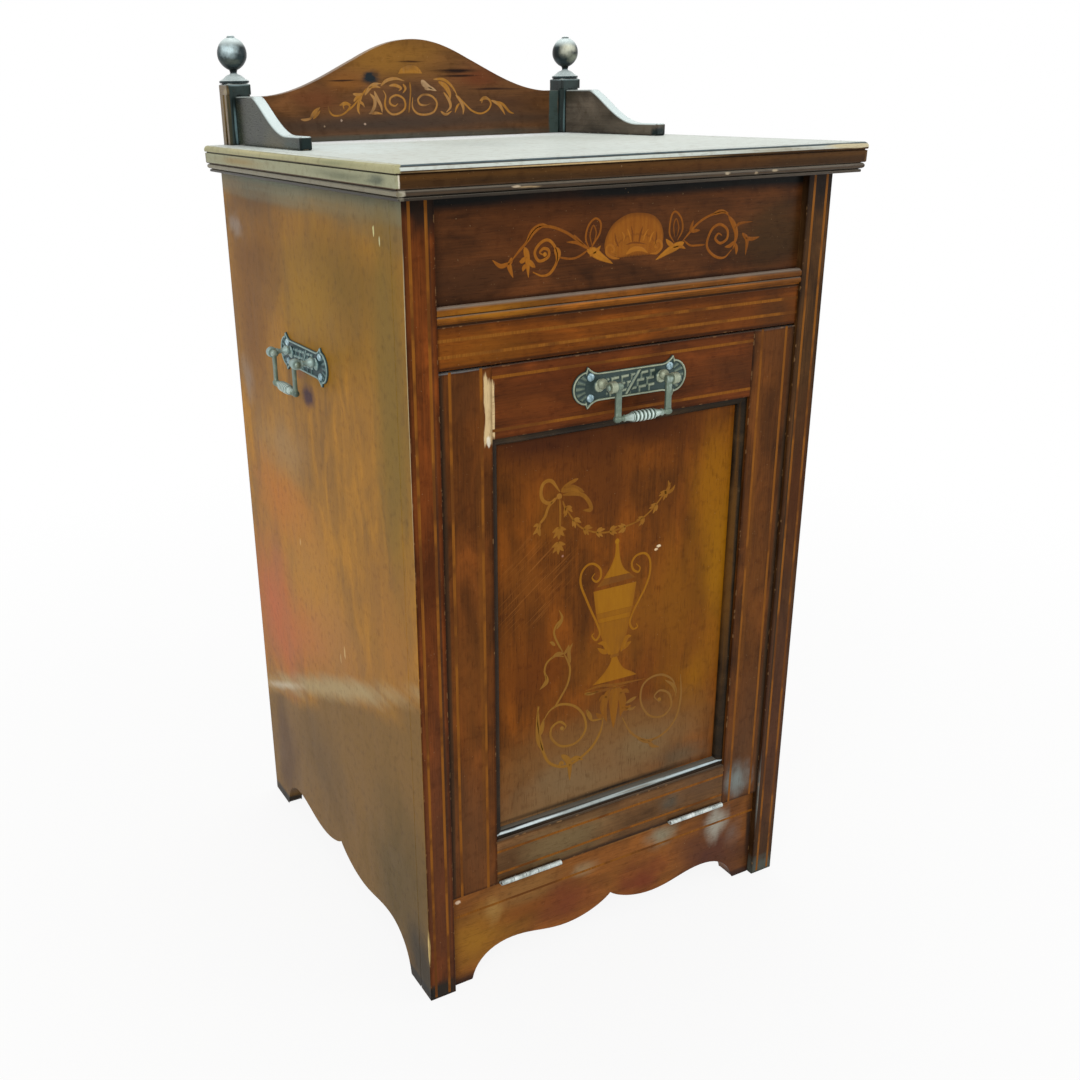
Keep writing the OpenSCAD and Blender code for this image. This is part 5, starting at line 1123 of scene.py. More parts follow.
# ---- Door frame ----
# Two stiles and two rails, joined with tenons, each with a pair of boxwood lines. The wood is
# warmer than the case, and a strip of polish has been torn off the left stile.
door_face = front + 0.002
for name, side in (("door_stile_left", -1), ("door_stile_right", 1)):
    low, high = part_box(name)
    torn = [(-0.1180, 0.4845, 0.0042, 0.0250, 0.25, (222, 194, 144), 1.0, 0, True),
            (-0.1185, 0.4640, 0.0022, 0.0050, 0.4, (236, 228, 206), 0.9)] if side < 0 else []
    wood = polished_wood(name + "_wood", "z", (98, 54, 19) if side < 0 else (87, 50, 20),
                         71.0 + side, (low, high), on_face(door_face, [
        (side * 0.136, 0.14, 0.03, 0.10, 1.0, (100, 66, 40), 0.7),
        (0.133, 0.112, 0.020, 0.026, 1.0, (122, 128, 124), 1.2 if side > 0 else 0.0),
        (side * 0.136, 0.28, 0.02, 0.12, 1.0, (112, 66, 24), 0.6),
        (side * 0.136, 0.50, 0.03, 0.03, 1.0, (92, 54, 26), 0.5),
        # Painted shade along the gap by the case.
        (side * 0.1560, 0.30, 0.0050, 0.4, 0.7, (42, 38, 28), 0.85),
        (side * 0.140, high.z, 0.03, 0.0016, 0.7, (158, 168, 172), 0.7 if side < 0 else 0.2),
        (side * 0.1265, 0.30, 0.0035, 0.2, 0.9, (124, 74, 24), 0.6),
        *torn]), 0.2, 0.31, 0.5)
    eased_copy(name, "fall_front", wood, 0.0005)
low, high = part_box("door_rail_top")
rail_wood = polished_wood("door_top_wood", "x", (94, 48, 18), 74.0, (low, high),
                          on_face(door_face, [
    (0.09, 0.490, 0.06, 0.03, 1.0, (82, 46, 21), 0.8),
    (-0.04, 0.500, 0.06, 0.02, 1.0, (84, 40, 16), 0.6),
    (-0.1150, 0.4845, 0.0016, 0.0230, 0.25, (226, 198, 148), 1.0, 0, True),
    (-0.085, 0.485, 0.04, 0.012, 1.0, (112, 60, 22), 0.5)]), 0.2, 0.3, 0.4)
eased_copy("door_rail_top", "fall_front", rail_wood, 0.0005)
low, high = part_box("door_rail_bottom")
rail_wood = polished_wood("door_bottom_wood", "x", (106, 74, 44), 76.0, (low, high),
                          on_face(door_face, [
    (-0.05, 0.110, 0.07, 0.03, 1.0, (118, 98, 66), 1.0),
    (0.06, 0.112, 0.020, 0.014, 1.0, (84, 78, 66), 1.0),
    (0.09, 0.118, 0.040, 0.022, 1.0, (92, 68, 48), 0.8),
    # Painted shade along the gap over the apron.
    (0.0, 0.0915, 0.16, 0.0035, 0.9, (60, 42, 28), 1.0),
    (-0.10, 0.110, 0.02, 0.03, 1.0, (84, 54, 30), 0.6)]), 0.17, 0.34, 0.6)
eased_copy("door_rail_bottom", "fall_front", rail_wood, 0.0005)

# ---- Panel and its moulding ----
# A veneered panel held in a groove, its figure upright, behind a scotia moulding whose lower run
# faces up and carries a painted blue-white highlight under a line of painted shade. Painted shadow
# also runs along the top of the panel, under the rail.
panel_face = front + 0.0105
panel_wood = polished_wood("panel_wood", "z", (110, 60, 15), 81.0, None, on_face(panel_face, [
    (0.100, 0.330, 0.045, 0.150, 1.0, (150, 98, 10), 1.2),
    (0.060, 0.290, 0.040, 0.110, 1.0, (132, 80, 14), 1.0),
    (0.094, 0.400, 0.032, 0.060, 1.0, (146, 92, 10), 1.0),
    (0.030, 0.300, 0.050, 0.060, 1.0, (132, 80, 18), 0.9),
    (-0.020, 0.260, 0.045, 0.045, 1.0, (126, 74, 18), 0.7),
    (-0.085, 0.345, 0.030, 0.035, 1.0, (124, 70, 20), 0.9),
    (-0.060, 0.395, 0.025, 0.030, 1.0, (122, 72, 18), 0.8),
    (-0.020, 0.410, 0.050, 0.045, 1.0, (98, 52, 16), 0.9),
    (-0.070, 0.462, 0.10, 0.056, 1.0, (72, 36, 14), 1.2),
    (0.030, 0.462, 0.10, 0.056, 1.0, (76, 38, 12), 1.2),
    (0.082, 0.222, 0.050, 0.060, 1.0, (142, 90, 12), 1.1),
    (0.020, 0.215, 0.040, 0.035, 1.0, (96, 50, 14), 0.8),
    (-0.075, 0.270, 0.045, 0.040, 1.0, (102, 52, 12), 0.9),
    (0.000, 0.190, 0.18, 0.042, 1.0, (122, 84, 44), 1.2),
    (-0.020, 0.150, 0.17, 0.060, 1.0, (126, 96, 62), 1.2),
    (-0.050, 0.162, 0.050, 0.026, 1.0, (126, 102, 70), 0.8),
    (0.030, 0.172, 0.040, 0.026, 1.0, (124, 100, 66), 0.7),
    (0.070, 0.148, 0.050, 0.018, 1.0, (98, 82, 60), 0.9),
    # Painted shadow under the top rail.
    (0.0, 0.466, 0.14, 0.006, 0.9, (40, 24, 12), 1.0),
    (-0.114, 0.30, 0.006, 0.4, 0.9, (58, 38, 22), 0.9),
    # Painted shade above the moulding's lower run.
    (0.0, 0.1405, 0.14, 0.004, 0.9, (30, 24, 18), 1.1),
    (0.0395, 0.3512, 0.0026, 0.0016, 0.4, (236, 214, 176), 1.1),
    (0.0370, 0.3488, 0.0022, 0.0013, 0.4, (230, 200, 156), 1.1),
    (-0.051, 0.361, 0.0012, 0.0012, 0.4, (176, 130, 110), 0.8),
]), 0.15, 0.3,
    scratch=((-0.078, panel_face, 0.342), (0.055, 0.03, 0.050), 0.8, (148, 90, 36), 0.75, 0.66))
level_faces(cast("panel_plain_board", [planed_board(*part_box("door_panel"))], "fall_front",
                 panel_wood, ("door_panel",), sharp=crease))
mould_wood = polished_wood("panel_moulding_wood", "x", (42, 32, 20), 84.0, None,
                           on_face(panel_face, [
    # The lower run: painted shade, then a painted blue-white highlight along the edge that faces
    # up.
    (0.0, 0.1388, 0.16, 0.0024, 0.5, (22, 19, 15), 1.2),
    (0.0, 0.1345, 0.16, 0.0016, 0.6, (190, 202, 200), 1.0),
    (-0.09, 0.1347, 0.05, 0.0013, 0.5, (226, 240, 242), 1.2),
    (0.085, 0.1347, 0.05, 0.0011, 0.5, (200, 216, 220), 1.1),
    (0.02, 0.1345, 0.035, 0.0012, 0.8, (120, 112, 96), 0.8),
    (0.0, 0.1312, 0.16, 0.0014, 0.6, (58, 44, 32), 1.0),
    (0.1108, 0.31, 0.0030, 0.17, 0.6, (96, 62, 18), 1.0),
    (0.1150, 0.3, 0.0018, 0.3, 0.8, (28, 28, 22), 1.0),
    (-0.1130, 0.3, 0.0030, 0.3, 0.8, (46, 32, 20), 0.9)]), 0.3, 0.26, shine=0.1)
eased_copy("panel_moulding", "fall_front", mould_wood, 0.0004)

# Panel marquetry: a covered urn on a scrolling base, a ribbon bow and a leafy swag above it.
urn_strokes = [
    ("bud", 4.4, 0.7, [(-1, 360.5), (-0.5, 365.5)]),
    ("leaf", 4, 0.45, [(-7, 268), (-12, 271), (-17, 275)]),
    ("leaf", 4, 0.45, [(8, 268), (12, 271), (16, 273)]),
    ("leaf", 4.5, 0.5, [(-5, 266), (-10, 277), (-17, 279)]),
    ("leaf", 4.5, 0.5, [(6, 266), (11, 277), (16, 278)]),
    ("stem", 2.0, 0.55, [(-21, 340.5), (-23.5, 337), (-19.5, 333), (-15.5, 336), (-16, 343),
                         (-22, 348.5), (-28.5, 348.5), (-33.5, 343), (-34, 334), (-29, 321),
                         (-23, 307.5), (-18, 297), (-15, 287.5), (-18.5, 282.5), (-22.5, 287),
                         (-20.5, 289)]),
    ("stem", 2.0, 0.55, [(18, 340.5), (22, 336.5), (20.5, 333), (15.5, 336), (14, 342.5),
                         (18.5, 347.5), (26.5, 347.5), (31.5, 341), (32, 329.5), (28, 318),
                         (23, 309.5), (17, 299.5), (14, 290.5), (17, 284), (21.5, 284.5),
                         (20.5, 288)]),
    ("leaf", 2.6, 0.2, [(-28, 239.5), (-13, 240), (0, 237.5), (17.5, 236), (32, 235)]),
    ("leaf", 2.4, 0.15, [(-29, 236.5), (-13, 235.5), (2, 234.5), (14, 234)]),
    ("leaf", 9, 0.3, [(0.5, 237), (0.5, 221.5), (1, 197)]),
    ("leaf", 7, 0.25, [(-4, 235), (-9.5, 221), (-6, 205)]),
    ("leaf", 7, 0.25, [(5, 234), (9.5, 219), (7.5, 206)]),
    ("leaf", 4.5, 0.2, [(9, 214), (14, 212), (18, 214)]),
    ("leaf", 4, 0.2, [(-9, 212), (-13, 212), (-17, 216)]),
    ("leaf", 4, 0.2, [(6, 228), (12, 229), (16, 226)]),
    ("leaf", 4, 0.2, [(-6, 228), (-11, 229), (-14, 226)]),
]
urn_shapes = [
    (0.60, eased_line([(-2, 361), (-2.2, 356), (-3.2, 350), (-7, 342), (-13, 334)]),
     eased_line([(1.0, 361), (1.6, 355), (3.6, 345), (7.5, 338), (12.5, 334)])),
    (0.12, [(-13, 333.9), (-19, 328)], [(12.5, 333.9), (18, 329)]),
    (0.62, [(-22, 325), (-19, 305)], [(19, 325), (16, 304.5)]),
    (0.42, [(-19, 304.8), (-18, 300.5)], [(15.8, 304.3), (15, 300)]),
    (0.55, [(-17.8, 300.3), (-16.4, 296.5)], [(14.8, 299.8), (13.6, 295.5)]),
    (0.40, eased_line([(-16.2, 296.3), (-13.6, 284), (-9.5, 275), (-4.0, 265.5)]),
     eased_line([(13.4, 295.3), (11.8, 284), (9, 275.5), (3.4, 265.5)])),
    (0.25, [(-4.5, 265.4), (-4.5, 263)], [(4.0, 265.4), (4.0, 263)]),
    (0.55, eased_line([(-3, 262.9), (-4, 259), (-9, 252), (-16, 246), (-21, 242.5)]),
     eased_line([(2.5, 262.9), (4, 259), (9, 251), (18, 245), (22.5, 241.5)])),
]
urn_veneer = marquetry_finish("urn_veneer", [(116, 70, 26), (150, 96, 18), (170, 116, 22)],
                              (134, 82, 18), 0.0, (140, 88, 20), 0.25)
marquetry("urn_veneers", ("panel_marquetry_urn",), "fall_front", urn_veneer, panel_face,
          urn_strokes, urn_shapes)
swag_line = eased_line([(-50.5, 403.5), (-45.5, 394), (-37.5, 383.5), (-28.5, 377.5),
                        (-17.5, 373.5), (-6.5, 372.5), (6.5, 374), (22, 377.5), (33, 385),
                        (42, 394), (47, 400), (51, 405)])
swag_strokes = [
    ("stem", 1.5, 0.45, swag_line[::6]),
    ("stem", 3.0, 0.6, [(-54, 413), (-61.5, 422.5), (-68, 422), (-70.5, 415.5), (-68.5, 408.5),
                        (-62, 405.5), (-55.5, 409.5)]),
    ("stem", 3.0, 0.45, [(-53, 412.5), (-48, 417), (-38, 420.5)]),
    ("stem", 3.4, 0.4, [(-51.5, 410), (-43, 409.5), (-34, 407), (-28, 400.5), (-26, 394),
                        (-33, 394.5)]),
    ("stem", 2.6, 0.35, [(-50.5, 415.5), (-42, 415), (-32.5, 409)]),
    ("leaf", 4.0, 0.5, [(-52.5, 412.5), (-43, 413), (-34, 407.5)]),
    ("stem", 2.4, 0.6, [(-58, 409), (-64, 402.5), (-67, 395.5), (-72.5, 390)]),
    ("leaf", 3.6, 0.65, [(-71, 391.5), (-73.5, 386.5), (-77.5, 383.5)]),
    ("leaf", 3.4, 0.65, [(-72.5, 388.5), (-72, 384.5), (-71, 381)]),
    ("leaf", 2.6, 0.6, [(-72, 390), (-74.5, 390.5), (-77, 389.5)]),
    ("stem", 1.8, 0.5, [(-54, 407.5), (-53.5, 397.5), (-53.5, 383)]),
    ("stem", 1.6, 0.5, [(-51.5, 405.5), (-49, 397.5), (-50, 392)]),
    ("bud", 4.6, 0.8, [(-56.5, 411), (-52.5, 408)]),
    ("leaf", 3.2, 0.5, [(42, 393), (47, 399), (46, 405)]),
    ("leaf", 3.0, 0.45, [(43, 394), (50, 396), (53, 400)]),
]
for i, root in enumerate(swag_line[3:-12:9]):      # four leaves at every ninth point of the swag
    lean = swag_line[9 * i + 8] - root
    lean = lean / np.hypot(*lean) * (1 if root[0] < 0 else -1)
    over = np.array((-lean[1], lean[0]))
    for spread, reach in ((1.0, 6.0), (0.4, 8.0), (-0.5, 7.5), (-1.1, 5.5)):
        tip = root + reach * (lean + spread * over) / np.hypot(1, spread)
        swag_strokes.append(("leaf", 2.7, 0.55 + 0.15 * (i % 2),
                             [root, (root + tip) / 2 + 0.5 * over, tip]))
for x, z in ((-54.5, 385), (-55, 373)):
    for dx, dz in ((-6, -3), (-5, -8), (0, -10), (5, -8), (6.5, -3)):
        swag_strokes.append(("leaf", 3.2, 0.6,
                             [(x, z), (x + 0.45 * dx, z + 0.6 * dz), (x + dx, z + dz)]))
swag_veneer = marquetry_finish("swag_veneer", [(110, 66, 20), (142, 92, 28), (162, 112, 44)],
                               (112, 66, 20), 0.0, (106, 60, 18), 0.35)
marquetry("swag_veneers", ("panel_marquetry_swag",), "fall_front", swag_veneer, panel_face,
          swag_strokes)
scroll_strokes = [
    ("stem", 2.6, 0.5, [(-9.5, 210), (-12, 197.5), (-20, 185.5), (-33.5, 177.5), (-47.5, 175),
                        (-61, 182.5), (-67.5, 195.5), (-71, 211), (-73, 226.5), (-71.5, 237.5)]),
    ("stem", 2.2, 0.5, [(-68.5, 221.5), (-61, 231), (-50.5, 233.5), (-37.5, 228), (-28.5, 216.5),
                        (-27, 203), (-36, 194), (-50, 195), (-59.5, 205), (-59.5, 214.5),
                        (-52, 218), (-46, 212.5), (-49, 208.5)]),
    ("bud", 3.4, 0.75, [(-51, 213), (-48.5, 210)]),
    ("leaf", 5.0, 0.5, [(-67.5, 195.5), (-72, 211), (-72.5, 238.5)]),
    ("leaf", 4.4, 0.5, [(-70.5, 210.5), (-68.5, 218), (-67, 225)]),
    ("stem", 2.0, 0.5, [(-58, 231.5), (-51, 240.5), (-44.5, 251.5), (-43, 265), (-49, 279)]),
    ("leaf", 3.2, 0.5, [(-42.5, 268.5), (-44, 278.5), (-40.5, 285.5)]),
    ("leaf", 3.0, 0.5, [(-48.5, 277.5), (-45.5, 281), (-44, 285)]),
    ("leaf", 3.0, 0.5, [(-48.5, 278), (-55, 279.5), (-60, 277)]),
    ("stem", 1.8, 0.5, [(-48.5, 275.5), (-56.5, 278), (-64, 274.5), (-66.5, 267.5), (-65, 259.5),
                        (-70.5, 252.5)]),
    ("leaf", 3.2, 0.5, [(-65.5, 264.5), (-64.5, 257), (-71, 252)]),
    ("stem", 1.8, 0.5, [(-49.5, 279.5), (-54.5, 288.5), (-58, 298), (-56, 304.5), (-51, 309.5),
                        (-53.5, 316.5)]),
    ("leaf", 2.6, 0.5, [(-56, 301), (-51.5, 306.5), (-50, 311.5)]),
    ("leaf", 2.6, 0.45, [(-57, 287), (-59.5, 290), (-62, 291.5)]),
    ("leaf", 5.4, 0.5, [(-50, 187), (-42.5, 177.5), (-41.5, 160)]),
    ("leaf", 4.0, 0.5, [(-42, 179), (-35, 179.5), (-28.5, 175.5)]),
    ("leaf", 3.4, 0.5, [(-47.5, 177.5), (-50.5, 179.5), (-52, 176)]),
    ("stem", 1.8, 0.5, [(-10.5, 209), (-20.5, 210.5), (-25, 217), (-25.5, 222)]),
    ("leaf", 3.0, 0.5, [(-20.5, 211.5), (-24, 218), (-27, 221.5)]),
    ("leaf", 3.0, 0.45, [(-29, 237), (-21.5, 235.5), (-14.5, 236)]),
    ("stem", 2.2, 0.3, [(9.5, 204.5), (19.5, 187), (36, 175), (53.5, 176.5), (66, 188.5),
                        (70, 207.5), (68.5, 229.5)]),
    ("stem", 2.0, 0.3, [(65, 209), (61, 225), (49, 234), (36, 234), (28.5, 227), (28.5, 212.5),
                        (37.5, 198.5), (51, 194), (60, 201), (57.5, 213.5), (48, 219.5),
                        (42, 215.5), (47.5, 208.5)]),
    ("bud", 3.4, 0.5, [(45.5, 212.5), (49, 210)]),
    ("leaf", 3.4, 0.35, [(65, 212), (61.5, 220.5), (52, 228.5)]),
    ("leaf", 3.6, 0.35, [(25.5, 180), (37.5, 173.5), (44.5, 174.5)]),
    ("leaf", 3.4, 0.3, [(37.5, 174.5), (42, 168), (49.5, 164.5)]),
    ("leaf", 3.4, 0.35, [(12.5, 217), (19.5, 219), (23.5, 220.5)]),
    ("leaf", 2.8, 0.3, [(12.5, 213), (18.5, 210), (23, 211.5)]),
]
scroll_veneer = marquetry_finish("scroll_veneer", [(128, 90, 48), (142, 98, 34), (158, 116, 48)],
                                 (120, 78, 28), 0.0, (116, 76, 38), 0.3)
marquetry("scroll_veneers", ("panel_marquetry_scrolls",), "fall_front", scroll_veneer, panel_face,
          scroll_strokes)

# ---- Hinges ----
# A pair of pressed brass butt hinges, five knuckles on a steel pin, their leaves let into the
# door's lower edge and the apron and screwed. The barrels stand proud, their brass painted pale
# blue-white for the highlight that runs along them.
def old_metal(name, tones, marked=False, rough=0.32, metallic=0.8, grit=500):
    """Old lacquered metal: two sizes of noise mix tarnish and rubbed metal, and where marks are
    given their height brightens what stands proud."""
    finish, place, shader = blank_finish(name)
    bloom = clouds(place, (140, 140, 140), 5, 2.0)
    fleck = clouds(place, (grit, grit, grit), 3, 6.0)
    depth = 0.7 * bloom + 0.3 * fleck
    if marked:
        marks = Wire(finish.node_tree).node("ShaderNodeAttribute", {"attribute_name": "marks"})
        depth = depth * 0.45 + split(marks)[0] * 0.55
    colour = picked(depth, (0.25, 0.5, 0.72), tones)
    bump = bumps(fleck, 0.3, 0.0002)
    feed(shader, Base_Color=colour, Roughness=rough + 0.25 * bloom, Metallic=metallic, Normal=bump)
    return finish


# Pale blue-white tones: a painted highlight on the barrels.
hinge_brass = old_metal("hinge_brass", [(84, 92, 88), (196, 206, 202), (244, 250, 248)], rough=0.34,
                        metallic=0.35)
pin_steel = old_metal("pin_steel", [(50, 48, 44), (92, 90, 84), (140, 140, 134)])
screw_metal = old_metal("hinge_screw_metal", [(70, 66, 52), (124, 118, 94), (170, 164, 136)])
barrel_reach, barrel_scale = 0.0037, 0.58          # what lies this near the axis is drawn in to it
low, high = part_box("hinge_pins")
hinge_axis = np.array([(low.y + high.y) / 2, (low.z + high.z) / 2])
for name, body, finish in (
        ("hinge_leaves_carcass", "carcass", hinge_brass),
        ("hinge_leaves_door", "fall_front", hinge_brass),
        ("hinge_pins", "carcass", pin_steel), ("hinge_screws_carcass", "carcass", screw_metal),
        ("hinge_screws_door", "fall_front", screw_metal)):
    hinge = eased_copy(name, body, finish, 0.00018).data
    if "screws" not in name:
        points = np.empty(3 * len(hinge.vertices))
        hinge.vertices.foreach_get("co", points)
        points = points.reshape(-1, 3)
        off_axis = points[:, 1:] - hinge_axis
        near = np.hypot(*off_axis.T) < barrel_reach
        points[near, 1:] = hinge_axis + barrel_scale * off_axis[near]
        hinge.vertices.foreach_set("co", points.ravel())
        hinge.update()

# ---- Handle plates ----
# Stamped brass backplates: a band of raised fretwork between two round ends, with four little
# horns and a rolled rim. Two posts with eyes are riveted through domed bosses. The brass is
# green-black in its hollows and worn pale on what stands proud. Sizes are in millimetres.
half_long, lobe, band, horn_top = 50.4, 12.5, 10.5, 15.4
lobe_at = half_long - lobe                         # middle of a round end
horn_run, horn_tip = 10.0, 37.2                    # a horn rises over that length up to its tip
eye_at, pin_up, pin_out = 27.3, 2.8, 17.5          # middle of an eye: across, up and out
bar_pitch, bar_half, bar_wide = 8.6, 3.7, 2.7      # the fret's bars along a row
slant_x, slant_y = 0.82, 0.57                      # direction across the slanting bar
deck = 0.75                                        # thickness of the brass in its hollows


def plate_edge(x):
    """Half height of the plate at a distance from its middle: the greater of the band, the round
    end and a horn with two hollow sides."""
    x = np.abs(x)
    end = np.sqrt(np.maximum(0, lobe ** 2 - np.maximum(0, np.abs(x - lobe_at)) ** 2))
    end = np.where(x > lobe_at - 8, end, 0)
    hollow = np.where(x < horn_tip, (horn_tip - x) / horn_run, (x - horn_tip - 0.8) / 3.6)
    horn = np.where(x <= lobe_at + 4, band + (horn_top - band) * np.clip(1 - hollow, 0, 1) ** 2.2,
                    0)
    horn = np.minimum(horn, horn_top)
    past = np.maximum(end, np.where(end > 9.5, horn, 0))
    return np.where(x <= lobe_at, np.maximum(np.maximum(band, end), horn), past)


def ridge(distance, width):
    """A round-topped ridge: 1 on its line, 0 past half its width."""
    return np.sqrt(np.maximum(0, 1 - (distance / (width / 2)) ** 2))


def plate_height(x, y):
    """Height of the plate's face: a rim along its edge, three rows of short bars joined as a fret
    with a slanting bar in the middle, a boss at each eye and ribs fanned over each round end."""
    edge = plate_edge(x)
    slope = np.gradient(edge, axis=0) / np.maximum(np.gradient(x, axis=0), 1e-3)
    from_edge = (edge - np.abs(y)) / np.sqrt(1 + np.clip(slope, -3, 3) ** 2)
    from_round = lobe - np.hypot(np.abs(x) - lobe_at, y)
    from_edge = np.where(np.abs(x) > lobe_at + 3, from_round, from_edge)
    high = 1.15 * ridge(from_edge - 0.9, 1.8)
    fret = 0 * x
    for row, start in ((5.3, 1.0), (0.2, 4.2), (-4.9, 2.4)):
        gap = np.abs((x + start) % bar_pitch - bar_pitch / 2)
        bars = ridge(y - row - 0.05 * x, bar_wide) * np.clip((bar_half - gap) / 0.5, 0, 1)
        knee = ridge((x + start + 2.4) % bar_pitch - bar_pitch / 2, 2.0)
        knee = knee * (np.abs(y - row + 2.4) < 2.0)
        fret = np.maximum(np.maximum(fret, bars), 0.8 * knee)
    off_slant = x * slant_x - (y + 0.5) * slant_y - 1.5
    fret = np.where(np.abs(off_slant) < 2.2, ridge(off_slant, 2.3) * (np.abs(y) < 8.4), fret)
    field = np.clip((eye_at - 5.5 - np.abs(x)) / 0.8, 0, 1) * np.clip((from_edge - 1.6) / 0.6, 0, 1)
    high = np.maximum(high, 1.05 * fret * field)
    out = np.hypot(np.abs(x) - eye_at, y - 0.4)
    high = np.maximum(high, 2.2 * np.sqrt(np.maximum(0, 1 - (out / 4.6) ** 2)) * (out < 4.6))
    fan = np.arctan2(y, np.abs(x) - eye_at - 3)
    ribs = ridge((fan / 0.30 + 0.5) % 1 - 0.5, 0.6) * (out > 12.5)
    ribs = ribs * (from_edge > 2.4) * (np.abs(fan) < 0.75)
    return np.maximum(high, 0.7 * ribs)


def plate_parts():
    """The plate's sheets and marks, drawn flat: across, up and out from the surface it lies on."""
    x = np.concatenate([[-half_long], -lobe_at - lobe * np.sin(np.linspace(pi / 2, 0, 44))[1:],
                        np.linspace(-lobe_at, lobe_at, 250)[1:-1],
                        lobe_at + lobe * np.sin(np.linspace(0, pi / 2, 44))[:-1], [half_long]])
    t = np.sin(np.linspace(-pi / 2, pi / 2, 60)) * 0.5 + np.linspace(-1, 1, 60) * 0.5
    grid_x = np.repeat(x[:, None], len(t), 1)
    grid_y = plate_edge(grid_x) * t[None, :]
    high = plate_height(grid_x, grid_y)
    top = np.stack([grid_x, grid_y, deck + high], -1)
    base = np.stack([grid_x, grid_y, 0 * high], -1)
    around = np.concatenate([top, base[:, ::-1]], 1)
    raised = np.concatenate([np.clip(high / 1.3, 0, 1), 0 * high], 1)
    marks = [np.stack([raised] * 3, -1)]
    made = [sheet(around, loop_columns=True)]
    post = [(0, 1.5), (3.0, 1.5), (2.7, 2.4), (3.3, 3.2), (3.9, 4.4), (3.9, 5.4), (3.4, 6.6),
            (2.4, 7.6), (1.9, 8.6), (1.9, 11.6), (2.6, 12.6), (2.4, 13.4), (2.0, 14.4), (0, 14.6)]
    ring = np.concatenate([arc((1.45, -1.9), 0.5, -180, -90, 3), arc((3.6, -1.9), 0.6, -90, 0, 4),
                           arc((3.6, 1.9), 0.6, 0, 90, 4), arc((1.45, 1.9), 0.5, 90, 180, 3)])
    ring = np.concatenate([ring, ring[:1]])
    for side in (-1, 1):
        made += [turned(post, (side * eye_at, pin_up, 0), "z", 28),
                 turned(ring, (side * eye_at, pin_up, pin_out), "x", 36)]
        # The posts and eyes take the palest tone, partly wear and partly a painted highlight.
        marks += [np.full_like(made[-2][0], 1.1), np.full_like(made[-1][0], 0.85)]
    return made, marks


def round_screw(x, y, head_r=2.9, shank_share=0.42, shank_long=9):
    """A round-head screw: a dome with a slot sunk across it."""
    r = np.linspace(0, head_r, 12)
    turn = np.linspace(0, 2 * pi, 40, endpoint=False)
    gx, gy = r[:, None] * np.cos(turn), r[:, None] * np.sin(turn)
    dome = 1.5 * np.sqrt(np.maximum(0, 1 - (r[:, None] / 3.1) ** 2))
    slot = 0.8 * ridge(gx * 0.9 + gy * 0.43, 1.1)
    head = np.stack([x + gx, y + gy, deck + 0.2 + np.maximum(0.0, dome - slot)], -1)
    foot, shank = (np.stack([x + share * gx[-1:], y + share * gy[-1:], 0 * gx[-1:] + 0.1], -1)
                   for share in (1, shank_share))
    tip = shank - (0, 0, shank_long)
    return sheet(np.concatenate([head, foot, shank, tip]), loop_columns=True)


door_handle_z, side_handle_z, side_handle_y = 490.7, 494.7, 16.55


def on_door(points):
    """Flat handle coordinates laid on the door's face, about the middle of its top rail."""
    return np.stack([points[:, 0], door_face / mm - points[:, 2], door_handle_z + points[:, 1]],
                    -1) * mm


def on_side(side):
    """Flat handle coordinates laid on a side panel: across runs along the panel, out from it."""
    def lay(points):
        along, up, out = points.T
        return np.stack([side * (side_x / mm + out), side_handle_y + side * along,
                         side_handle_z + up], -1) * mm
    return lay


plate_brass = old_metal("plate_brass", [(46, 64, 62), (92, 106, 92), (160, 168, 144)], True, 0.36,
                        0.4)
side_plate_brass = old_metal("side_plate_brass", [(38, 62, 66), (84, 112, 112), (150, 172, 166)],
                             True, 0.36, 0.4)
# The screw heads are painted pale blue-white for the light on their domes.
handle_screw_brass = old_metal("handle_screw_brass",
                               [(96, 118, 124), (150, 178, 186), (214, 232, 238)], rough=0.3,
                               metallic=0.4)
plate_sheets, plate_marks = plate_parts()
screw_x, screw_up = 35, 7.7
screw_sheets = [round_screw(x, y) for x in (-screw_x, screw_x) for y in (-screw_up, screw_up)]


def laid(sheets, lay):
    """Sheets with every point sent through a placing function."""
    return [(lay(points), quads) for points, quads in sheets]


for name, body, lay in (("door_handle_plate", "fall_front", on_door),
                        ("side_handle_plate_left", "carcass", on_side(-1)),
                        ("side_handle_plate_right", "carcass", on_side(1))):
    cast(name + "_stamped", laid(plate_sheets, lay), body,
         plate_brass if "door" in name else side_plate_brass, (name,), plate_marks, 50)
cast("door_handle_round_screws", laid(screw_sheets, on_door), "fall_front", handle_screw_brass,
     ("door_handle_screws",), sharp=50)
cast("side_handle_round_screws", laid(screw_sheets, on_side(-1)) + laid(screw_sheets, on_side(1)),
     "carcass", handle_screw_brass, ("side_handle_screws",), sharp=50)
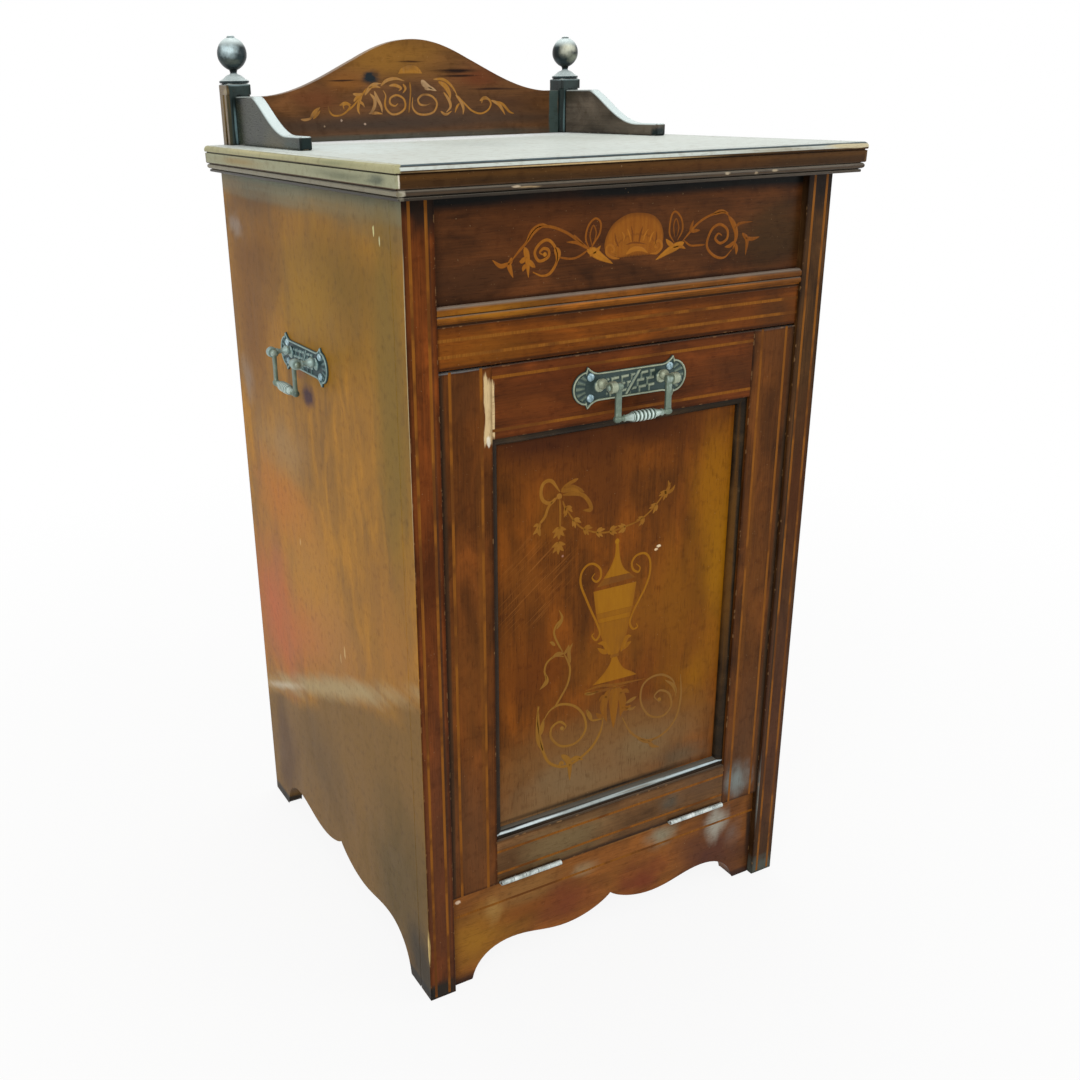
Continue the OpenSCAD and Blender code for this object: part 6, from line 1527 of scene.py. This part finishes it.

# ---- Bails ----
# The hanging grips, cast in brass: two flat arms that widen to a collar at the pin, and a barrel
# turned with fine beads between them. Fingers have kept them pale, and painted highlights brighten
# the crests of the grip's rings.
def bail_parts():
    """Arms as flat bars that swell at both ends, pins with button ends, and the grip as a turned
    barrel: it tapers both ways from a row of rings about its middle."""
    arm_at, drop = 22.1, 24.0                      # how far an arm and the grip are from the pins
    grip_half, rings_end, ring_pitch, ring_high, grip_steps = 25.6, 9.9, 3.3, 0.72, 40
    made, marks = [], []
    rise = np.linspace(0, drop, 30)
    t = rise / drop
    wide = 2.5 + 0.35 * np.exp(-((t - 1) / 0.14) ** 2) + 0.3 * np.exp(-(t / 0.10) ** 2)
    turn = np.linspace(0, 2 * pi, 28, endpoint=False)
    flat, deep = (np.sign(part) * np.abs(part) ** 0.4 for part in (np.cos(turn), np.sin(turn)))
    pin = np.array([(0, -2.9), (2.2, -2.9), (2.95, -2.2), (2.95, 2.2), (2.2, 2.9), (1.45, 2.9),
                    (1.45, 8.2), (2.3, 8.2), (2.55, 8.6), (2.3, 9.5), (1.2, 10.0), (0, 10.1)])
    for side in (-1, 1):
        arm = np.stack([side * arm_at + wide[:, None] * flat,
                        pin_up - drop + rise[:, None] + 0 * turn,
                        pin_out + (1.2 + 0.4 * np.abs(t[:, None] - 0.5)) * deep], -1)
        ends = pin if side > 0 else pin[::-1] * (1, -1)
        made += [sheet(arm, loop_columns=True),
                 turned(ends, (side * arm_at, pin_up, pin_out), "x", 32)]
        marks += [np.full_like(made[-2][0], 0.42), np.full_like(made[-1][0], 0.55)]
    along = np.linspace(0, grip_half, 420)
    ringed = np.clip((rings_end - along) / 0.4, 0, 1)
    barrel = 3.7 - 0.02 * along - 1.35 * np.clip((along - 9.0) / 6.5, 0, 1) ** 0.9
    rings = ring_high * np.abs(np.cos(pi * along / ring_pitch)) ** 0.8 * ringed
    body = np.where(along < 16.0, barrel - 0.30 * ringed + rings, 0)
    collars = 2.7 * ridge(along - 16.6, 2.0) ** 0.6
    neck = np.where((along >= 15.5) & (along < 20.4), 1.9, 0)
    knob = np.where(along >= 19.6,
                    2.75 * np.sqrt(np.maximum(0, 1 - ((along - 22.3) / 3.3) ** 2)) ** 0.7, 0)
    radius = np.maximum(np.maximum(body, collars), np.maximum(neck, knob))
    radius[-1] = 0
    profile = np.concatenate([np.stack([radius[::-1], -along[::-1]], -1),
                              np.stack([radius, along], -1)[1:]])
    made.append(turned(profile, (0, pin_up - drop, pin_out), "x", grip_steps))
    # The rings' crests get the palest tone, a painted highlight.
    bright = np.where(along < rings_end, (rings / ring_high) ** 1.5, 0.75 - 0.03 * (along - 10))
    bright = np.clip(bright, 0.05, 1)
    bright = np.concatenate([bright[::-1], bright[1:]])
    marks.append(np.repeat(np.repeat(bright, grip_steps)[:, None], 3, 1))
    return made, marks


bail_brass = old_metal("bail_brass", [(48, 66, 64), (112, 128, 112), (206, 224, 218)], True, 0.34,
                       0.45)
bail_sheets, bail_marks = bail_parts()
for name, body, lay in (("door_handle_bail", "front_handle", on_door),
                        ("side_handle_bail_left", "left_handle", on_side(-1)),
                        ("side_handle_bail_right", "right_handle", on_side(1))):
    cast(name + "_cast", laid(bail_sheets, lay), body, bail_brass, (name,), bail_marks,
         50)

# ---- Coal carriage and liner ----
# Behind the door two pine cheeks and a base swing out with it and hold the coal liner, a lift-out
# box of black sheet iron with a rolled rim and riveted corners, scoured by coal and rusting.
cheek_pine = pine("cheek_pine", "z", [(92, 66, 42), (118, 88, 56), (142, 110, 74)], 0.6, 91.0)
base_pine = pine("base_pine", "y", [(92, 66, 42), (118, 88, 56), (142, 110, 74)], 0.75, 93.0)
for name, finish in (("carriage_cheek_left", cheek_pine), ("carriage_cheek_right", cheek_pine),
                     ("carriage_base", base_pine)):
    eased_copy(name, "fall_front", finish, 0.0005)


def black_iron(name):
    """Painted sheet iron: black paint, rust in clouds and scoured streaks that run down."""
    finish, place, shader = blank_finish(name)
    rust = clouds(place, (30, 30, 18), 6, 3.0)
    streak = clouds(place, (160, 160, 9), 4, 5.0)
    grit = clouds(place, (1200, 1200, 1200), 3, 7.0)
    base = picked(streak, (0.3, 0.7), [(24, 24, 25), (58, 58, 57)])
    colour = blend_of(ramp_up(rust + 0.3 * (grit - 0.5), 0.56, 0.68) * 0.8, base, tone(92, 54, 34))
    bump = bumps(rust + grit * 0.4, 0.4, 0.0004)
    feed(shader, Base_Color=colour, Roughness=0.42 + 0.35 * ramp_up(rust, 0.5, 0.66), Metallic=0.6,
         Normal=bump)
    return finish


iron = black_iron("black_iron")
eased_copy("liner", "fall_front", iron, 0.0004)
eased_copy("liner_rivets", "fall_front", iron, 0.0003)
